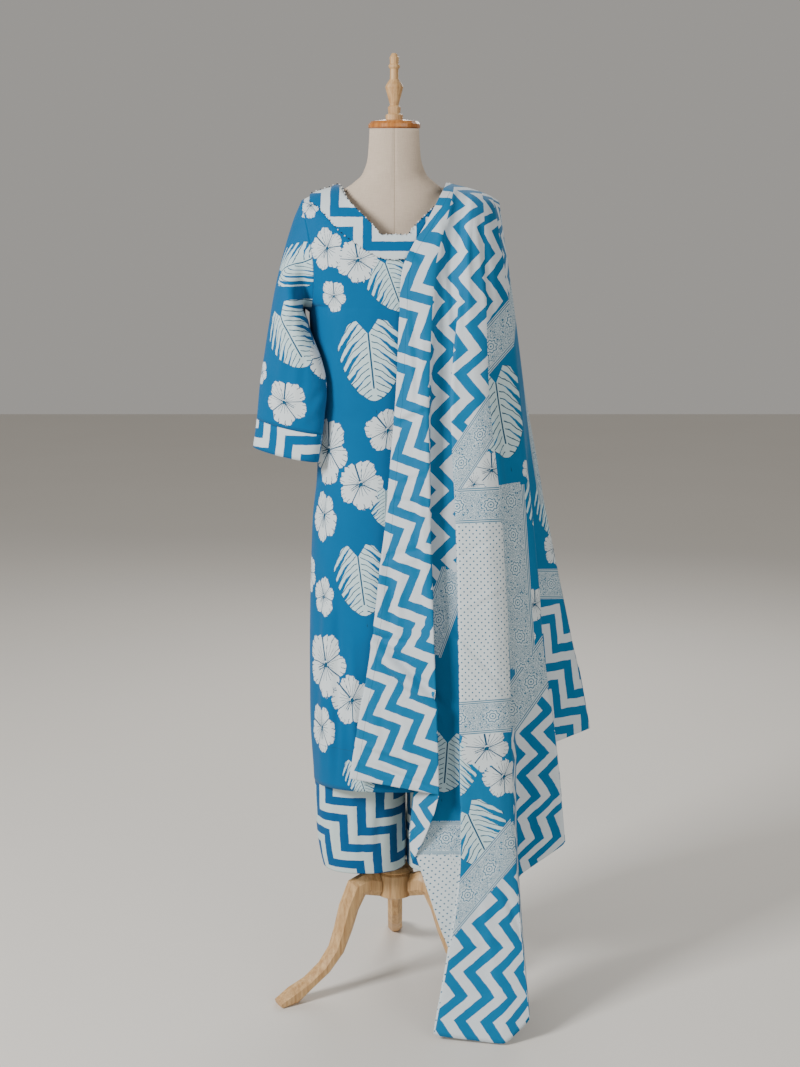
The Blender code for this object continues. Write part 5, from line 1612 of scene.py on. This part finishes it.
# %% Form sizes
# height, half width, depth of the front, depth of the back
FORM_ROWS = (
    (0.8460, 0.136, 0.099, 0.103),
    (0.9000, 0.140, 0.103, 0.110),
    (0.9900, 0.130, 0.095, 0.099),
    (1.0350, 0.1225, 0.0905, 0.0925),
    (1.0700, 0.1172, 0.0868, 0.0872),
    (1.1000, 0.1165, 0.0868, 0.0850),
    (1.1800, 0.127, 0.096, 0.086),
    (1.2700, 0.144, 0.112, 0.090),
    (1.3600, 0.148, 0.105, 0.092),
    (1.4400, 0.157, 0.090, 0.086),
    (1.4900, 0.160, 0.070, 0.070),
    (1.5200, 0.156, 0.050, 0.053),
    (1.5400, 0.143, 0.034, 0.038),
    (1.5508, 0.130, 0.012, 0.015),
    (1.5545, 0.101, 0.018, 0.023),
    (1.5620, 0.084, 0.029, 0.036),
    (1.5700, 0.073, 0.044, 0.048),
    (1.5820, 0.060, 0.048, 0.050),
    (1.6050, 0.050, 0.047, 0.048),
    (1.6350, 0.0465, 0.046, 0.046),
    (1.6640, 0.0450, 0.045, 0.045),
)
# the base of the neck under the collar: height, half width, depth
NECK_Z = (1.42, 1.47, 1.51, 1.54, 1.557, 1.570, 1.582)
NECK_HALF = (0.14, 0.125, 0.108, 0.096, 0.086, 0.074, 0.060)
NECK_DEEP = (0.05, 0.078, 0.066, 0.055, 0.050, 0.048, 0.048)
print("form of", len(FORM_ROWS), "sections")

# %% Linen
# Unbleached linen: flax yarn in a plain weave.  Flax spins unevenly, so thick places (slubs) show
# as short streaks along both threads, and without bleach the tone drifts from cream to straw.
# Linen threads lie 0.5 mm apart: they are drawn at 1.1 mm, as fine as they can show here.
THREAD_MM = 1.1
SLUB_LONG, SLUB_WIDE = per_metre(16.7), per_metre(1.111)    # from slubs 17 mm long and 1.1 mm wide
NEAR_AXIS = 0.05       # the radius at which the neck's threads are counted, in metres
SEAM_HALF = 0.0006     # half width of the stitched line, in metres
linen, tree, shader = new_material("unbleached_linen")
place = add(tree, "ShaderNodeTexCoord", out=3)
both = add(tree, "ShaderNodeSeparateXYZ", place)
x, y, z = both.node.outputs[0], both.node.outputs[1], both.node.outputs[2]
turn = add(tree, "MULTIPLY", add(tree, "ARCTAN2", add(tree, "SUBTRACT", y, float(SHIFT[1])),
           add(tree, "SUBTRACT", x, float(SHIFT[0]))), NEAR_AXIS)
weft, warp = (add(tree, "SINE", add(tree, "MULTIPLY", run, math.tau * 1000 / THREAD_MM)) for run in (z, turn))
threads = add(tree, "MULTIPLY", weft, warp)
slubs = []
for around, other, up in ((SLUB_LONG, 0.0, SLUB_WIDE), (SLUB_WIDE, 4.0, SLUB_LONG)):
    spot = add(tree, "ShaderNodeCombineXYZ", add(tree, "MULTIPLY", turn, around), other,
               add(tree, "MULTIPLY", z, up))
    slubs.append(add(tree, "ShaderNodeTexNoise", spot, None, 1.0, 2.0, 0.5))
cloud = add(tree, "ShaderNodeTexNoise", place, None, 14.0, 3.0, 0.5)
share = add(tree, "ADD", *(add(tree, "MULTIPLY", slub, 0.5) for slub in slubs))
stitched = add(tree, "ABSOLUTE", add(tree, "SUBTRACT", x, float(SHIFT[0])))
stitched = add(tree, "LESS_THAN", stitched, SEAM_HALF)
tone = layers(tree, linear("#AE9A84"), (share, linear("#DECDBA")),
              (add(tree, "MULTIPLY", cloud, 0.3), linear("#B9A48F")),
              (add(tree, "MULTIPLY", stitched, 0.7), linear("#8A7764")))
height = add(tree, "ADD", add(tree, "MULTIPLY", threads, 0.3), add(tree, "ADD", *slubs))
wire(tree, shader, Base_Color=tone, Roughness=0.85,
     Normal=add(tree, "ShaderNodeBump", 0.5, 0.0008, None, height))
print("linen of", len(tree.nodes), "nodes")

# %% [markdown]
# The torso's rings are smoothed like the cloth, the base of the neck is filled out under the
# collar, and a fan of faces closes each end, so that the padding has an inside.

# %% Torso
GROOVE_HALF, GROOVE_DEEP, GROOVE_FROM_Z = 0.0016, 0.0012, 1.52    # the cover's seam, in metres
rings = np.array([[tuple(p) for p in body_ring(w, f, b, z, 24)] for z, w, f, b in FORM_ROWS])
fine = refine(rings, down=5, across=4, closed=True)
heights = fine[..., 2]
neck_half = np.interp(heights, NECK_Z, NECK_HALF)
neck_deep = np.interp(heights, NECK_Z, NECK_DEEP) * np.maximum(1 - (fine[..., 0] / neck_half) ** 2, 0) ** 0.5
front_side = np.where(fine[..., 1] < 0, -1.0, 1.0)
fine[..., 1] = front_side * np.maximum(np.abs(fine[..., 1]), neck_deep)
count, around = fine.shape[:2]
seam = np.exp(-(fine[..., 0] / GROOVE_HALF) ** 2) * (fine[..., 1] < 0) * (heights > GROOVE_FROM_Z)
fine = fine - normals(fine, True) * (seam * GROOVE_DEEP)[..., None]
points = [tuple(p + SHIFT) for p in [*fine.reshape(-1, 3), fine[0].mean(0), fine[-1].mean(0)]]
faces = [(i * around + j, i * around + (j + 1) % around, (i + 1) * around + (j + 1) % around,
          (i + 1) * around + j) for i in range(count - 1) for j in range(around)]
faces += [((j + 1) % around, j, count * around) for j in range(around)]
faces += [((count - 1) * around + j, (count - 1) * around + (j + 1) % around, count * around + 1)
          for j in range(around)]
mesh = bpy.data.meshes.new("form_torso")
mesh.from_pydata(points, [], faces)
mesh.shade_smooth()
mesh.materials.append(linen)
torso = bpy.data.objects.new("form_torso", mesh)
bpy.context.scene.collection.objects.link(torso)
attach(torso, "root")
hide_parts("form_body")
print("torso of", len(faces), "faces")

# %% [markdown]
# ## Wood
# The post, hub, legs and knob are turned or sawn pine, and the cap on the neck is cherry.  Wood
# is a stack of growth layers along the piece, so a noise squeezed to a fourteenth along z gives
# the streaks.  The solids stay as they are and only change their material.


# %% Wood
ALONG = 0.07           # how much slower the grain changes along z than across


def turned_wood(name, dark, light, gloss, grain_mm):
    """Lathe-turned wood whose streaks, grain_mm wide, run along z"""
    grain = per_metre(grain_mm)
    material, tree, shader = new_material(name)
    place = add(tree, "ShaderNodeTexCoord", out=3)
    parts = add(tree, "ShaderNodeSeparateXYZ", place).node.outputs
    flat = add(tree, "ShaderNodeCombineXYZ", add(tree, "MULTIPLY", parts[0], grain),
               add(tree, "MULTIPLY", parts[1], grain), add(tree, "MULTIPLY", parts[2], grain * ALONG))
    streak = add(tree, "ShaderNodeTexNoise", flat, None, 1.0, 4.0, 0.6)
    rings = add(tree, "ShaderNodeTexNoise", flat, None, 4.2, 2.0, 0.5)
    share = add(tree, "ADD", add(tree, "MULTIPLY", streak, 0.75), add(tree, "MULTIPLY", rings, 0.25))
    share = add(tree, "ShaderNodeMapRange", share, 0.35, 0.65, 0.0, 1.0)
    tone = layers(tree, linear(dark), (share, linear(light)))
    wire(tree, shader, Base_Color=tone, Roughness=gloss,
         Normal=add(tree, "ShaderNodeBump", 0.15, 0.0005, None, streak))
    return material


# Oiled pine: sanded and wiped with oil, which darkens the grain and leaves a half matt face.
pine = turned_wood("oiled_pine", "#A97E4E", "#D5AF7C", 0.48, 6.25)
# Varnished cherry: turned, sanded and varnished, so it is redder and shows clear highlights.
cherry = turned_wood("varnished_cherry", "#96561F", "#C98645", 0.22, 11.1)
for node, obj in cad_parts.items():
    kind = cherry if node == "neck_cap" else pine
    if node in ("neck_cap", "finial", "stand_pole", "stand_hub") or node.startswith("stand_leg"):
        obj.data.materials.clear()
        obj.data.materials.append(kind)
        print(node, "in", kind.name)

# %% End
print("scene built")
